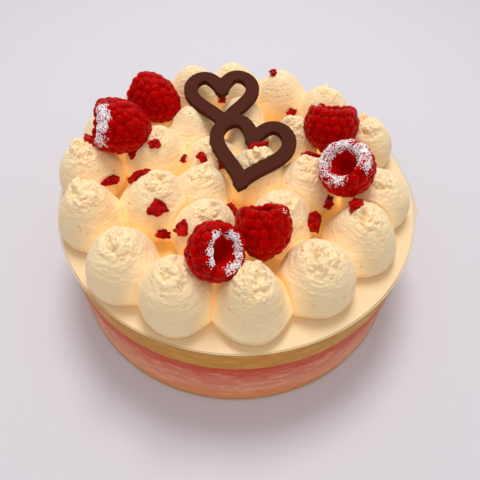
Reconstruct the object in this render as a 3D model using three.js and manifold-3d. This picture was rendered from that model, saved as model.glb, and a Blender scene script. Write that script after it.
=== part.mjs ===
// A round raspberry and vanilla mousse cake in its clear collar, topped with piped
// whipped cream, fresh raspberries, freeze-dried raspberry flakes and two open
// chocolate hearts. Millimetres, +Z up, origin at the middle of the base.
import * as THREE from 'three';
import { mergeVertices } from 'three/addons/utils/BufferGeometryUtils.js';
import Module from 'manifold-3d';

const wasm = await Module();
wasm.setup();

// ---- driving dimensions -------------------------------------------------------

const CAKE_RADIUS = 80;        // a 16 cm ring
const CAKE_HEIGHT = 50.5;      // a ring lined with 5 cm collar, filled to just over it
const VANILLA_DEPTH = 15;      // pale layer at the top
const JELLY_DEPTH = 3;         // red band under it
const ROUND_SIDES = 64;        // sides of every full-width disc

const FILM_GAP = 0.3;          // air between the cake and the collar
const FILM_WALL = 0.4;         // thin clear film, drawn thick enough to be a solid
const FILM_LIFT = 0.3;         // the film's lower edge stays clear of the table
const FILM_RISE = 0.4;         // and its upper edge stands just over the cream
const FILM_OVERLAP = { from: -9, to: 6, curl: 0.9 };   // degrees, and how far the end lifts

const CONTACT_GAP = 0.3;       // between neighbouring solids
const DECK = CAKE_HEIGHT;      // the flat top that the cream is piped on

// Piped mounds: where each stands, its widest radius, its height, and how far its
// torn tip leans. A slim one narrows sooner toward its tip. The first row runs round the
// edge, clockwise from the front.
const EDGE_MOUNDS = [
  { x: 6.0, y: -62.3, radius: 15.2, height: 27.0, lean: [0, 1], slim: 0.16 },
  { x: -21.8, y: -61.0, radius: 14.2, height: 27.5, lean: [0, 1] },
  { x: -43.8, y: -48.0, radius: 14.6, height: 27.0, lean: [1, 0] },
  { x: -60.8, y: -24.8, radius: 13.8, height: 28.0, lean: [1, 0], slim: 0.07 },
  { x: -65.8, y: 0.5, radius: 13.8, height: 25.5, lean: [0, 1] },
  { x: -61.2, y: 25.0, radius: 13.8, height: 22.5, lean: [1, 0] },
  { x: -45.7, y: 46.5, radius: 13.5, height: 24.0, lean: [1, -1] },
  { x: -23.5, y: 57.0, radius: 14.0, height: 25.0, lean: [0, 0] },
  { x: -2.5, y: 61.5, radius: 14.0, height: 24.0, lean: [-2, 0] },
  { x: 21.0, y: 57.3, radius: 13.3, height: 23.5, lean: [-1, 0] },
  { x: 42.5, y: 46.3, radius: 13.4, height: 23.5, lean: [-1, -1] },
  { x: 59.3, y: 25.5, radius: 14.0, height: 23.5, lean: [-1, -2] },
  { x: 61.3, y: -9.6, radius: 14.4, height: 24.0, lean: [-3, -2] },
  { x: 51.0, y: -32.0, radius: 15.0, height: 26.0, lean: [-1, 1], slim: 0.06 },
  { x: 31.5, y: -51.5, radius: 15.0, height: 26.5, lean: [-1, 1] },
];
const INNER_MOUNDS = [
  { x: -34.8, y: -18.0, radius: 14.6, height: 27.0, lean: [3, 1] },
  { x: -37.8, y: 11.5, radius: 14.0, height: 25.0, lean: [1, 0] },
  { x: -11.8, y: -30.5, radius: 14.0, height: 24.0, lean: [0, 0] },
  { x: -15.8, y: -9.5, radius: 12.2, height: 23.0, lean: [1, 0] },
  { x: 18.0, y: -25.0, radius: 14.0, height: 24.5, lean: [0, 0] },
  { x: 31.0, y: -3.8, radius: 13.2, height: 24.5, lean: [-1, -1] },
  { x: 25.0, y: 21.5, radius: 12.4, height: 24.5, lean: [0, 0] },
  { x: 8.5, y: 1.5, radius: 13.2, height: 24.5, lean: [0, -1] },
  { x: -22.0, y: 28.5, radius: 13.0, height: 23.5, lean: [0, 0] },
  { x: -12.0, y: 10.5, radius: 12.0, height: 22.0, lean: [0, -1] },
  { x: 1.0, y: 36.5, radius: 12.2, height: 23.5, lean: [0, 0] },
  { x: 5.0, y: 20.0, radius: 11.5, height: 21.5, lean: [0, 0] },
];
const MOUND_SIDES = 16;
const MOUND_FOOT = 0.93;       // the foot tucks in under the widest part
const MOUND_BELLY = 0.22;      // height of the widest part, as a share of the whole
const MOUND_UNEVEN = 0.035;    // how far a hand-piped mound is out of round
const TIP_UNEVEN = 0.7;        // millimetres of crag round the torn tip

// Fresh raspberries: the middle of each, the direction its hollow opens, its widest
// radius and its length from tip to rim.
const RASPBERRIES = [
  { at: [-39.6, 37.4, 71.0], opens: [-0.88, 0.38, 0.28], radius: 10.6, length: 23 },
  { at: [-50.3, 10.6, 77.2], opens: [-0.91, -0.22, 0.36], radius: 11.3, length: 23 },
  { at: [41.0, 18.0, 72.6], opens: [0.01, 0.53, 0.85], radius: 11.8, length: 19.5 },
  { at: [44.3, -11.9, 77.0], opens: [-0.46, -0.25, 0.85], radius: 11.1, length: 18.5 },
  { at: [10.2, -39.2, 70.5], opens: [-0.03, 0.68, 0.74], radius: 10.7, length: 19.5 },
  { at: [-8.3, -52.4, 76.0], opens: [0.65, -0.43, 0.63], radius: 10.8, length: 15.5 },
];
const BERRY_COLUMNS = 24;      // two columns to a drupelet
const BERRY_ROWS = 9;
const DRUPELET_RELIEF = 0.45;  // how far a drupelet stands above and below the mean skin
const HOLLOW_RADIUS = 0.46;    // of the berry's radius
const HOLLOW_DEPTH = 0.5;      // of the berry's length

// Freeze-dried flakes: the mound each lies on, the bearing from that mound's middle
// in degrees, how far up it, the flake's length and width, its turn on the surface
// (0 lies level, 90 points up the slope), how much wider its far end is, and how much
// flatter than the slope it lies.
const FLAKES = [
  { on: 'edge_05', bearing: 48, up: 0.92, length: 10, width: 6, turn: 15, taper: 0, lean: 0.3 },
  { on: 'inner_02', bearing: -146, up: 0.66, length: 8.3, width: 5, turn: -73, taper: -0.5, lean: 0.3 },
  { on: 'inner_02', bearing: -86, up: 0.88, length: 6.5, width: 5, turn: -6, taper: 0, lean: 0.3 },
  { on: 'edge_05', bearing: -36, up: 0.46, length: 9.5, width: 4.4, turn: -16, taper: 0, lean: 0.5 },
  { on: 'inner_01', bearing: 150, up: 0.82, length: 11.5, width: 4.4, turn: -45, taper: 0, lean: 0.8 },
  { on: 'inner_01', bearing: -82, up: 0.71, length: 7.4, width: 8.4, turn: 95, taper: -0.5, lean: 0.3 },
  { on: 'inner_01', bearing: -68, up: 0.27, length: 8.5, width: 5, turn: -2, taper: 0, lean: 0.4 },
  { on: 'inner_03', bearing: -153, up: 0.66, length: 8.5, width: 6.8, turn: 61, taper: 0, lean: 0.3 },
  { on: 'inner_02', bearing: -16, up: 0.45, length: 5.5, width: 4, turn: -26, taper: 0, lean: 0.3 },
  { on: 'inner_10', bearing: -120, up: 0.76, length: 6.4, width: 4.5, turn: -48, taper: -0.2, lean: 0.3 },
  { on: 'inner_10', bearing: -50, up: 0.72, length: 10, width: 6.2, turn: 37, taper: 0.35, lean: 0.3 },
  { on: 'edge_08', bearing: -98, up: 0.79, length: 6.5, width: 4.6, turn: -85, taper: -0.3, lean: 0.3 },
  { on: 'edge_09', bearing: -118, up: 0.50, length: 5.4, width: 4, turn: 15, taper: 0, lean: 0.3 },
  { on: 'inner_03', bearing: 36, up: 0.58, length: 10, width: 5.5, turn: -25, taper: 0, lean: 0.9 },
  { on: 'edge_10', bearing: 162, up: 0.93, length: 6, width: 3.4, turn: 30, taper: 0, lean: 0.3 },
  { on: 'edge_10', bearing: -67, up: 0.37, length: 7, width: 4.3, turn: -20, taper: 0, lean: 0.3 },
  { on: 'inner_08', bearing: 100, up: 0.90, length: 9.5, width: 4.5, turn: 10, taper: 0, lean: 0.5 },
  { on: 'inner_06', bearing: 84, up: 0.90, length: 9.5, width: 4.5, turn: 0, taper: 0, lean: 0.5 },
  { on: 'inner_06', bearing: -48, up: 0.38, length: 7.7, width: 4.6, turn: 74, taper: 0, lean: 0.5 },
  { on: 'edge_14', bearing: 138, up: 0.92, length: 9.5, width: 6, turn: 42, taper: 0.3, lean: 0.3 },
  { on: 'inner_05', bearing: -8, up: 0.48, length: 13, width: 8.5, turn: -62, taper: 0.35, lean: 1.2 },
];
const FLAKE_CORNERS = 6;
const FLAKE_PROUD = 1.5;       // stands above the cream
const FLAKE_SUNK = 2.0;        // sits in it, so its ends meet the round mound

// Two open hearts cut from one sheet of chocolate, lying on the mound tips with the
// rear raised and the front end pressed in between the mounds.
const SHEET = { middle: [-5.5, 14, DECK + 22.3], tilt: 6, thickness: 2.8 };
const STROKE = 6.2;
const HEARTS = [
  { at: [-2.5, 19.5], width: 29, turn: 6 },
  { at: [10.0, -11.5], width: 32, turn: -12 },
];
const HEART_POINTS = 36;
const HEART_CLEFT = 2.4;       // deepens the notch between the lobes
const HEART_TALL = 1.18;       // stretches the outline from cleft to point

const CREAM = new THREE.MeshStandardMaterial({ color: 0xfff1d2, roughness: 0.6 });
const VANILLA = new THREE.MeshStandardMaterial({ color: 0xe9cf9e, roughness: 0.45 });
const JELLY = new THREE.MeshStandardMaterial({ color: 0xb2302a, roughness: 0.35 });
const MOUSSE = new THREE.MeshStandardMaterial({ color: 0xd98a7a, roughness: 0.5 });
const FILM = new THREE.MeshStandardMaterial({
  color: 0xffffff, roughness: 0.05, transparent: true, opacity: 0.25 });
const BERRY = new THREE.MeshStandardMaterial({ color: 0xa50d12, roughness: 0.35 });
const CHOCOLATE = new THREE.MeshStandardMaterial({ color: 0x4b241c, roughness: 0.5 });

// ---- small helpers ------------------------------------------------------------

const radians = THREE.MathUtils.degToRad;
const vector = (list) => new THREE.Vector3(...list);

/** The same seemingly random number from -1 to 1 each time, for one seed. */
function uneven(seed) {
  const wave = Math.sin(seed * 12.9898 + 4.1414) * 43758.5453;
  return 2 * (wave - Math.floor(wave)) - 1;
}

/** A closed solid from rings of points: rings[0] starts at one pole's side. */
function ringsToGeometry(rings, firstPole, lastPole, lowDiagonal = () => false) {
  const columns = rings[0].length;
  const corners = [firstPole, ...rings.flat(), lastPole];
  const corner = (ring, column) => 1 + ring * columns + (column % columns);
  const faces = [];
  for (let column = 0; column < columns; column += 1) {
    faces.push(0, corner(0, column + 1), corner(0, column));
    const last = rings.length - 1;
    faces.push(corners.length - 1, corner(last, column), corner(last, column + 1));
  }
  for (let ring = 0; ring < rings.length - 1; ring += 1) {
    for (let column = 0; column < columns; column += 1) {
      const a = corner(ring, column);
      const b = corner(ring, column + 1);
      const c = corner(ring + 1, column + 1);
      const d = corner(ring + 1, column);
      if (lowDiagonal(ring, column)) faces.push(a, b, d, b, c, d);
      else faces.push(a, b, c, a, c, d);
    }
  }
  const geometry = new THREE.BufferGeometry();
  const flat = corners.flatMap((point) => [point.x, point.y, point.z]);
  geometry.setAttribute('position', new THREE.Float32BufferAttribute(flat, 3));
  geometry.setIndex(faces);
  return geometry;
}

function toSolid(geometry) {
  const bare = geometry.clone();
  bare.deleteAttribute('normal');
  bare.deleteAttribute('uv');
  const merged = mergeVertices(bare, 1e-4);
  return new wasm.Manifold(new wasm.Mesh({
    numProp: 3,
    vertProperties: new Float32Array(merged.attributes.position.array),
    triVerts: new Uint32Array(merged.index.array),
  }));
}

function toGeometry(solid) {
  const mesh = solid.getMesh();
  const geometry = new THREE.BufferGeometry();
  geometry.setAttribute('position', new THREE.BufferAttribute(mesh.vertProperties, 3));
  geometry.setIndex(new THREE.BufferAttribute(mesh.triVerts, 1));
  return geometry;
}

/** The largest of a solid's loose pieces: scraps left by a cut are dropped. */
function largestPiece(solid) {
  const pieces = solid.decompose();
  return pieces.reduce((best, piece) => (piece.volume() > best.volume() ? piece : best));
}

const cake = new THREE.Group();

function addMesh(name, geometry, material) {
  const mesh = new THREE.Mesh(geometry, material);
  mesh.name = name;
  cake.add(mesh);
}

// ---- cake body and collar -----------------------------------------------------

function disc(bottom, top) {
  const profile = [
    [0, bottom], [CAKE_RADIUS, bottom], [CAKE_RADIUS, top], [0, top],
  ].map(([radius, z]) => new THREE.Vector2(radius, z));
  return new THREE.LatheGeometry(profile, ROUND_SIDES).rotateX(Math.PI / 2);
}

/** The collar: one strip of film whose outer end laps over its start and lifts. */
function filmCollar() {
  const inner = CAKE_RADIUS + FILM_GAP;
  const bottom = FILM_LIFT;
  const top = CAKE_HEIGHT + FILM_RISE;
  const outerRadius = (degrees) => {
    const { from, to, curl } = FILM_OVERLAP;
    if (degrees < from || degrees > to) return inner + FILM_WALL;
    const lifted = (to - degrees) / (to - from);
    return inner + 2 * FILM_WALL + curl * lifted ** 2;
  };
  const bearings = [];
  const step = 360 / ROUND_SIDES;
  for (let side = 0; side < ROUND_SIDES; side += 1) bearings.push(-180 + side * step);
  const { from, to } = FILM_OVERLAP;
  const nearEnd = (bearing) => [from, to].some((end) => Math.abs(bearing - end) < 0.6 * step);
  const marks = bearings.filter((bearing) => !nearEnd(bearing));
  marks.push(from - 0.3, from, to, to + 0.3);
  marks.sort((a, b) => a - b);
  const ring = (radiusAt, z) => marks.map((bearing) => {
    const angle = radians(bearing);
    const radius = radiusAt(bearing);
    return new THREE.Vector3(radius * Math.cos(angle), radius * Math.sin(angle), z);
  });
  const loops = [ring(() => inner, bottom), ring(outerRadius, bottom),
    ring(outerRadius, top), ring(() => inner, top)];
  const count = marks.length;
  const faces = [];
  for (let loop = 0; loop < 4; loop += 1) {
    const next = (loop + 1) % 4;
    for (let k = 0; k < count; k += 1) {
      const after = (k + 1) % count;
      const a = loop * count + k;
      const b = loop * count + after;
      const c = next * count + after;
      const d = next * count + k;
      faces.push(a, b, c, a, c, d);
    }
  }
  const geometry = new THREE.BufferGeometry();
  const flat = loops.flat().flatMap((point) => [point.x, point.y, point.z]);
  geometry.setAttribute('position', new THREE.Float32BufferAttribute(flat, 3));
  geometry.setIndex(faces);
  return geometry;
}

const vanillaBottom = CAKE_HEIGHT - VANILLA_DEPTH;
const jellyBottom = vanillaBottom - JELLY_DEPTH;
addMesh('raspberry_mousse', disc(0, jellyBottom), MOUSSE);
addMesh('raspberry_jelly', disc(jellyBottom, vanillaBottom), JELLY);
addMesh('vanilla_mousse', disc(vanillaBottom, CAKE_HEIGHT), VANILLA);
addMesh('clear_collar', filmCollar(), FILM);

// ---- raspberries --------------------------------------------------------------

/** Distance from the berry's axis at a share of its length: round tip, wide rim. */
function berryRadius(share) {
  const widest = 0.62;
  if (share < widest) return (1 - (1 - share / widest) ** 1.9) ** 0.66;
  return 1 - 0.17 * ((share - widest) / (1 - widest)) ** 2.5;
}

function berryAxes(berry) {
  const along = vector(berry.opens).normalize();
  const side = new THREE.Vector3(0.3, 0.2, 0.9).cross(along).normalize();
  const across = new THREE.Vector3().crossVectors(along, side);
  return { along, side, across };
}

/** Rings round the berry's axis: stations are [share of length, radius, relief]. */
function berryRings(berry, stations, columns, seed) {
  const { along, side, across } = berryAxes(berry);
  const tip = vector(berry.at).addScaledVector(along, -0.55 * berry.length);
  return stations.map(([share, radius, relief], row) => {
    const ring = [];
    for (let column = 0; column < columns; column += 1) {
      const angle = (2 * Math.PI * column) / columns;
      const raised = (row + column) % 2 === 0 ? 1 : -1;
      const bump = relief * (raised + 0.35 * uneven(seed + row * 31 + column));
      const point = tip.clone().addScaledVector(along, share * berry.length);
      point.addScaledVector(side, (radius + bump) * Math.cos(angle));
      point.addScaledVector(across, (radius + bump) * Math.sin(angle));
      ring.push(point);
    }
    return ring;
  });
}

function raspberry(berry, seed) {
  const stations = [];
  for (let row = 1; row <= BERRY_ROWS; row += 1) {
    const share = (row / BERRY_ROWS) ** 1.15 * 0.98;
    stations.push([share, berry.radius * berryRadius(share), DRUPELET_RELIEF]);
  }
  const hollow = HOLLOW_RADIUS * berry.radius;
  stations.push([1.0, 0.66 * berry.radius, 0.25]);
  stations.push([0.90, hollow, 0.1]);
  stations.push([1 - HOLLOW_DEPTH, 0.55 * hollow, 0]);
  const rings = berryRings(berry, stations, BERRY_COLUMNS, seed);
  const { along } = berryAxes(berry);
  const tip = vector(berry.at).addScaledVector(along, -0.55 * berry.length);
  const floor = tip.clone().addScaledVector(along, (0.96 - HOLLOW_DEPTH) * berry.length);
  return ringsToGeometry(rings, tip, floor, (row, column) => (row + column) % 2 === 0);
}

/** A plain closed skin just outside a berry, which dents the cream it is pushed into. */
function berryDent(berry) {
  const clear = DRUPELET_RELIEF * 1.35 + CONTACT_GAP + 0.25;
  const stations = [0.06, 0.25, 0.5, 0.78, 1].map((share) => (
    [share, berry.radius * berryRadius(share) + clear, 0]));
  const rings = berryRings(berry, stations, 14, 0);
  const { along } = berryAxes(berry);
  const ahead = (share) => vector(berry.at).addScaledVector(along, share * berry.length);
  const tip = ahead(-0.55).addScaledVector(along, -clear);
  const cap = ahead(0.45).addScaledVector(along, clear + 0.4);
  return toSolid(ringsToGeometry(rings, tip, cap));
}

RASPBERRIES.forEach((berry, index) => {
  addMesh(`raspberry_${index + 1}`, raspberry(berry, 100 * (index + 1)), BERRY);
});

// ---- chocolate hearts ---------------------------------------------------------

/** One heart's line, counter-clockwise from its deep cleft, in the sheet's own plane. */
function heartLine({ at, width, turn }) {
  const scale = width / 32;
  const points = [];
  for (let k = 0; k < HEART_POINTS; k += 1) {
    const t = (2 * Math.PI * (k + 0.5)) / HEART_POINTS;
    const x = -16 * Math.sin(t) ** 3;
    const lobes = 13 * Math.cos(t) - 5 * Math.cos(2 * t) - 2 * Math.cos(3 * t) - Math.cos(4 * t);
    const cleft = Math.cos(t) > 0 ? HEART_CLEFT * Math.exp(-((x / 5) ** 2)) : 0;
    const point = new THREE.Vector2(x, HEART_TALL * (lobes - cleft + 2.5)).multiplyScalar(scale);
    point.rotateAround(new THREE.Vector2(), radians(turn));
    points.push(point.add(new THREE.Vector2(...at)));
  }
  return points;
}

/** The corner between two rows of points, each carried straight on: square at sharpest. */
function corner(row, next) {
  const [from, to] = row.slice(-2);
  const ahead = to.clone().sub(from);
  const back = next[1].clone().sub(next[0]);
  const share = next[0].clone().sub(to).cross(back) / ahead.cross(back);
  const middle = to.clone().lerp(next[0], 0.5);
  const reach = to.clone().addScaledVector(ahead, share).sub(middle);
  return middle.add(reach.clampLength(0, 0.5 * to.distanceTo(next[0])));
}

/** A heart's line moved outward. Each side keeps the points that don't cross back over
 * the line, and the sides meet in corners at the cleft and at the point. */
function beside(line, distance) {
  const count = line.length;
  const moved = line.map((point, k) => {
    const before = line[(k + count - 1) % count];
    const after = line[(k + 1) % count];
    const ahead = after.clone().sub(before).normalize();
    return point.clone().add(new THREE.Vector2(ahead.y, -ahead.x).multiplyScalar(distance));
  });
  const reach = 0.985 * Math.abs(distance);
  const clear = (point) => line.every((other) => point.distanceTo(other) > reach);
  const left = moved.slice(0, count / 2).filter(clear);
  const right = moved.slice(count / 2).filter(clear);
  return [...left, corner(left, right), ...right, corner(right, left)];
}

function heartSheet(extraWidth, extraThickness) {
  const thickness = SHEET.thickness + extraThickness;
  const solids = HEARTS.map((heart) => {
    const line = heartLine(heart);
    const half = (STROKE + extraWidth) / 2;
    const shape = new THREE.Shape(beside(line, half));
    shape.holes.push(new THREE.Path(beside(line, -half)));
    const slab = new THREE.ExtrudeGeometry(shape, { depth: thickness, bevelEnabled: false });
    return toSolid(slab.translate(0, 0, -thickness / 2));
  });
  const joined = toGeometry(solids.reduce((all, next) => all.add(next)));
  return joined.rotateX(radians(SHEET.tilt)).translate(...SHEET.middle);
}

addMesh('chocolate_hearts', heartSheet(0, 0), CHOCOLATE);

// ---- piped cream --------------------------------------------------------------

const named = (row, list) => list.map((mound, index) => (
  { ...mound, name: `${row}_${String(index + 1).padStart(2, '0')}` }));
const MOUNDS = [...named('edge', EDGE_MOUNDS), ...named('inner', INNER_MOUNDS)];

/** Distance from a mound's middle at a share of its height, as a share of its radius. */
function moundRadius(share, slim = 0) {
  if (share < MOUND_BELLY) {
    return MOUND_FOOT + (1 - MOUND_FOOT) * Math.sin((Math.PI / 2) * (share / MOUND_BELLY));
  }
  const high = (share - MOUND_BELLY) / 0.8;
  return (1 - high ** 1.8) ** 0.62 * (1 - slim * Math.sin(Math.PI * high ** 0.8));
}

function moundMiddle(mound, share) {
  return new THREE.Vector3(
    mound.x + mound.lean[0] * share ** 2,
    mound.y + mound.lean[1] * share ** 2,
    DECK + share * mound.height);
}

/** Upright planes halfway to each neighbour: a mound presses flat against them. */
function pressPlanes(mound) {
  const planes = [];
  for (const other of MOUNDS) {
    const apart = new THREE.Vector2(other.x - mound.x, other.y - mound.y);
    const distance = apart.length();
    if (other === mound || distance > mound.radius + other.radius + 5) continue;
    const share = (distance ** 2 + mound.radius ** 2 - other.radius ** 2) / (2 * distance);
    const toward = apart.normalize();
    const limit = share - CONTACT_GAP / 2 + toward.x * mound.x + toward.y * mound.y;
    planes.push({ toward, limit });
  }
  return planes;
}

/** Draws a point in toward an inner one until it is inside every plane. */
function pressIn(point, inside, planes) {
  let share = 1;
  for (const { toward, limit } of planes) {
    const from = toward.x * inside.x + toward.y * inside.y;
    const to = toward.x * point.x + toward.y * point.y;
    if (to > limit) share = Math.min(share, (limit - from) / (to - from));
  }
  return inside.clone().lerp(point, share);
}

function moundGeometry(mound, seed, planes) {
  const shares = [0, 0.1, 0.25, 0.45, 0.65, 0.81, 0.93];
  const rings = shares.map((share, row) => {
    const middle = moundMiddle(mound, share);
    const ring = [];
    for (let side = 0; side < MOUND_SIDES; side += 1) {
      const angle = (2 * Math.PI * side) / MOUND_SIDES;
      const oval = 1 + MOUND_UNEVEN * Math.sin(2 * angle + seed) * uneven(seed);
      const crag = share > 0.75 ? TIP_UNEVEN * uneven(seed + 17 * row + side) : 0;
      const radius = mound.radius * moundRadius(share, mound.slim) * oval + crag;
      const point = middle.clone();
      point.x += radius * Math.cos(angle);
      point.y += radius * Math.sin(angle);
      if (share > 0.75) point.z += 0.5 * crag;
      ring.push(pressIn(point, middle, planes));
    }
    return ring;
  });
  const foot = moundMiddle(mound, 0);
  const tip = moundMiddle(mound, 1);
  return ringsToGeometry(rings, foot, tip);
}

/** A crooked slab lying on the mound's surface, drawn in by the same planes. */
function flakeGeometry(flake, mound, seed, planes) {
  const bearing = radians(flake.bearing);
  const out = new THREE.Vector3(Math.cos(bearing), Math.sin(bearing), 0);
  const at = (share) => {
    const radius = mound.radius * moundRadius(share, mound.slim);
    return moundMiddle(mound, share).addScaledVector(out, radius);
  };
  const slope = at(flake.up + 0.02).sub(at(flake.up - 0.02)).normalize();
  const level = new THREE.Vector3(-out.y, out.x, 0);
  const normal = new THREE.Vector3().crossVectors(level, slope).normalize();
  normal.z += flake.lean;
  normal.normalize();
  const upSlope = new THREE.Vector3().crossVectors(normal, level);
  const turn = radians(flake.turn);
  const along = level.clone().multiplyScalar(Math.cos(turn)).addScaledVector(upSlope, Math.sin(turn));
  const across = new THREE.Vector3().crossVectors(normal, along);
  const inside = moundMiddle(mound, flake.up * 0.8);
  const outline = (height) => {
    const ring = [];
    for (let corner = 0; corner < FLAKE_CORNERS; corner += 1) {
      const angle = (2 * Math.PI * corner) / FLAKE_CORNERS;
      const reach = 1 + 0.2 * uneven(seed + corner);
      const wide = reach * (1 + flake.taper * Math.cos(angle));
      const point = at(flake.up).addScaledVector(normal, height);
      point.addScaledVector(along, 0.5 * flake.length * reach * Math.cos(angle));
      point.addScaledVector(across, 0.5 * flake.width * wide * Math.sin(angle));
      ring.push(pressIn(point, inside, planes));
    }
    return ring;
  };
  const foot = pressIn(at(flake.up).addScaledVector(normal, -FLAKE_SUNK), inside, planes);
  const crown = pressIn(at(flake.up).addScaledVector(normal, 1.3 * FLAKE_PROUD), inside, planes);
  return ringsToGeometry([outline(-FLAKE_SUNK), outline(FLAKE_PROUD)], foot, crown);
}

const dents = RASPBERRIES.map((berry) => ({ berry, solid: berryDent(berry) }));
const heartsRoom = toSolid(heartSheet(2 * CONTACT_GAP, 2 * CONTACT_GAP));

MOUNDS.forEach((mound, index) => {
  const seed = 7 * (index + 1);
  const planes = pressPlanes(mound);
  let cream = toSolid(moundGeometry(mound, seed, planes));
  FLAKES.forEach((flake, flakeIndex) => {
    if (flake.on !== mound.name) return;
    cream = cream.add(toSolid(flakeGeometry(flake, mound, 500 + 11 * flakeIndex, planes)));
  });
  for (const { berry, solid } of dents) {
    const apart = Math.hypot(berry.at[0] - mound.x, berry.at[1] - mound.y);
    if (apart < mound.radius + berry.length) cream = cream.subtract(solid);
  }
  cream = largestPiece(cream.subtract(heartsRoom));
  addMesh(`cream_${mound.name}`, toGeometry(cream), CREAM);
});

export default cake;
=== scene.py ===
"""A round raspberry and vanilla mousse cake in its clear collar, topped with piped cream,
fresh raspberries, freeze-dried raspberry flakes and two open chocolate hearts."""
import math

import bmesh
import bpy
import numpy as np
from mathutils import Matrix


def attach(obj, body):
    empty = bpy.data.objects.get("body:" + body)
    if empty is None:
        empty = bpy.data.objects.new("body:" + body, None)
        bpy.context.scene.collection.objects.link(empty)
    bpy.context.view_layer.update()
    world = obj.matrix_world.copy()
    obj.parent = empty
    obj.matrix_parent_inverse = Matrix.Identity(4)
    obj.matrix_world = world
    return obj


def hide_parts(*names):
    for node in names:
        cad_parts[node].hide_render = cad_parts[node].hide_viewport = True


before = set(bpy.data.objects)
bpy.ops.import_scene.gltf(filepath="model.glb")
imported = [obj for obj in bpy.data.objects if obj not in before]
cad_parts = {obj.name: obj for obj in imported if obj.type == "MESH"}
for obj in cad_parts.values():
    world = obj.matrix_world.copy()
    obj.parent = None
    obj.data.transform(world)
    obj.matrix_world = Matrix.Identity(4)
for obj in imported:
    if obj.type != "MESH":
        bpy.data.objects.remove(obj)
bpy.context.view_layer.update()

MM = 0.001

# ---- real sizes, in millimetres: the same as the solids' ----

CAKE_RADIUS = 80.0
DECK = 50.5
VANILLA_DEPTH = 15.0
JELLY_DEPTH = 3.0
FILM_GAP = 0.3
FILM_WALL = 0.4
FILM_LIFT = 0.3
FILM_RISE = 0.4
RIM_EASE = 0.15
LAP_FROM, LAP_TO, LAP_CURL = -9.0, 6.0, 0.9

# Each mound: x, y, widest radius, height, lean of the tip, how far up its near side the
# torn top begins as a share of the height, and how much slimmer its shoulders are.
MOUNDS = {
    "edge_01": (6.0, -62.3, 15.2, 27.0, (0, 1), 0.70, 0.16),
    "edge_02": (-21.8, -61.0, 14.2, 27.5, (0, 1), 0.78, 0),
    "edge_03": (-43.8, -48.0, 14.6, 27.0, (1, 0), 0.76, 0),
    "edge_04": (-60.8, -24.8, 13.8, 28.0, (1, 0), 0.72, 0.07),
    "edge_05": (-65.8, 0.5, 13.8, 25.5, (0, 1), 0.74, 0),
    "edge_06": (-61.2, 25.0, 13.8, 22.5, (1, 0), 0.90, 0),
    "edge_07": (-45.7, 46.5, 13.5, 24.0, (1, -1), 0.92, 0),
    "edge_08": (-23.5, 57.0, 14.0, 25.0, (0, 0), 0.90, 0),
    "edge_09": (-2.5, 61.5, 14.0, 24.0, (-2, 0), 0.92, 0),
    "edge_10": (21.0, 57.3, 13.3, 23.5, (-1, 0), 0.90, 0),
    "edge_11": (42.5, 46.3, 13.4, 23.5, (-1, -1), 0.86, 0),
    "edge_12": (59.3, 25.5, 14.0, 23.5, (-1, -2), 0.80, 0),
    "edge_13": (61.3, -9.6, 14.4, 24.0, (-3, -2), 0.80, 0),
    "edge_14": (51.0, -32.0, 15.0, 26.0, (-1, 1), 0.76, 0.06),
    "edge_15": (31.5, -51.5, 15.0, 26.5, (-1, 1), 0.70, 0),
    "inner_01": (-34.8, -18.0, 14.6, 27.0, (3, 1), 0.78, 0),
    "inner_02": (-37.8, 11.5, 14.0, 25.0, (1, 0), 0.86, 0),
    "inner_03": (-11.8, -30.5, 14.0, 24.0, (0, 0), 0.82, 0),
    "inner_04": (-15.8, -9.5, 12.2, 23.0, (1, 0), 0.76, 0),
    "inner_05": (18.0, -25.0, 14.0, 24.5, (0, 0), 0.80, 0),
    "inner_06": (31.0, -3.8, 13.2, 24.5, (-1, -1), 0.74, 0),
    "inner_07": (25.0, 21.5, 12.4, 24.5, (0, 0), 0.72, 0),
    "inner_08": (8.5, 1.5, 13.2, 24.5, (0, -1), 0.78, 0),
    "inner_09": (-22.0, 28.5, 13.0, 23.5, (0, 0), 0.90, 0),
    "inner_10": (-12.0, 10.5, 12.0, 22.0, (0, -1), 0.80, 0),
    "inner_11": (1.0, 36.5, 12.2, 23.5, (0, 0), 0.90, 0),
    "inner_12": (5.0, 20.0, 11.5, 21.5, (0, 0), 0.88, 0),
}
MOUND_FOOT = 0.93
MOUND_BELLY = 0.22
MOUND_UNEVEN = 0.035
PRESS_OVERLAP = 0.03
MERGE_REACH = 7.0
MERGE_SWELL = 0.34
PEAK_ASIDE = 2.6
PEAK_HEIGHT = PEAK_RADIUS = 1.9

# Each raspberry: its middle, the way its hollow opens, its widest radius, its length.
RASPBERRIES = (
    ((-39.6, 37.4, 71.0), (-0.88, 0.38, 0.28), 10.6, 23.0),
    ((-50.3, 10.6, 77.2), (-0.91, -0.22, 0.36), 11.3, 23.0),
    ((41.0, 18.0, 72.6), (0.01, 0.53, 0.85), 11.8, 19.5),
    ((44.3, -11.9, 77.0), (-0.46, -0.25, 0.85), 11.1, 18.5),
    ((10.2, -39.2, 70.5), (-0.03, 0.68, 0.74), 10.7, 19.5),
    ((-8.3, -52.4, 76.0), (0.65, -0.43, 0.63), 10.8, 15.5),
)
BERRY_WIDEST = 0.62
BERRY_BACK, BERRY_FRONT = 0.55, 0.45
DRUPELET_PITCH = 4.2
DRUPELET_PROUD = 0.45
DRUPELET_FLATNESS = 0.74
CORE_SUNK = 0.25
HOLLOW_RADIUS = 0.46
HOLLOW_DEPTH = 0.5

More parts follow.
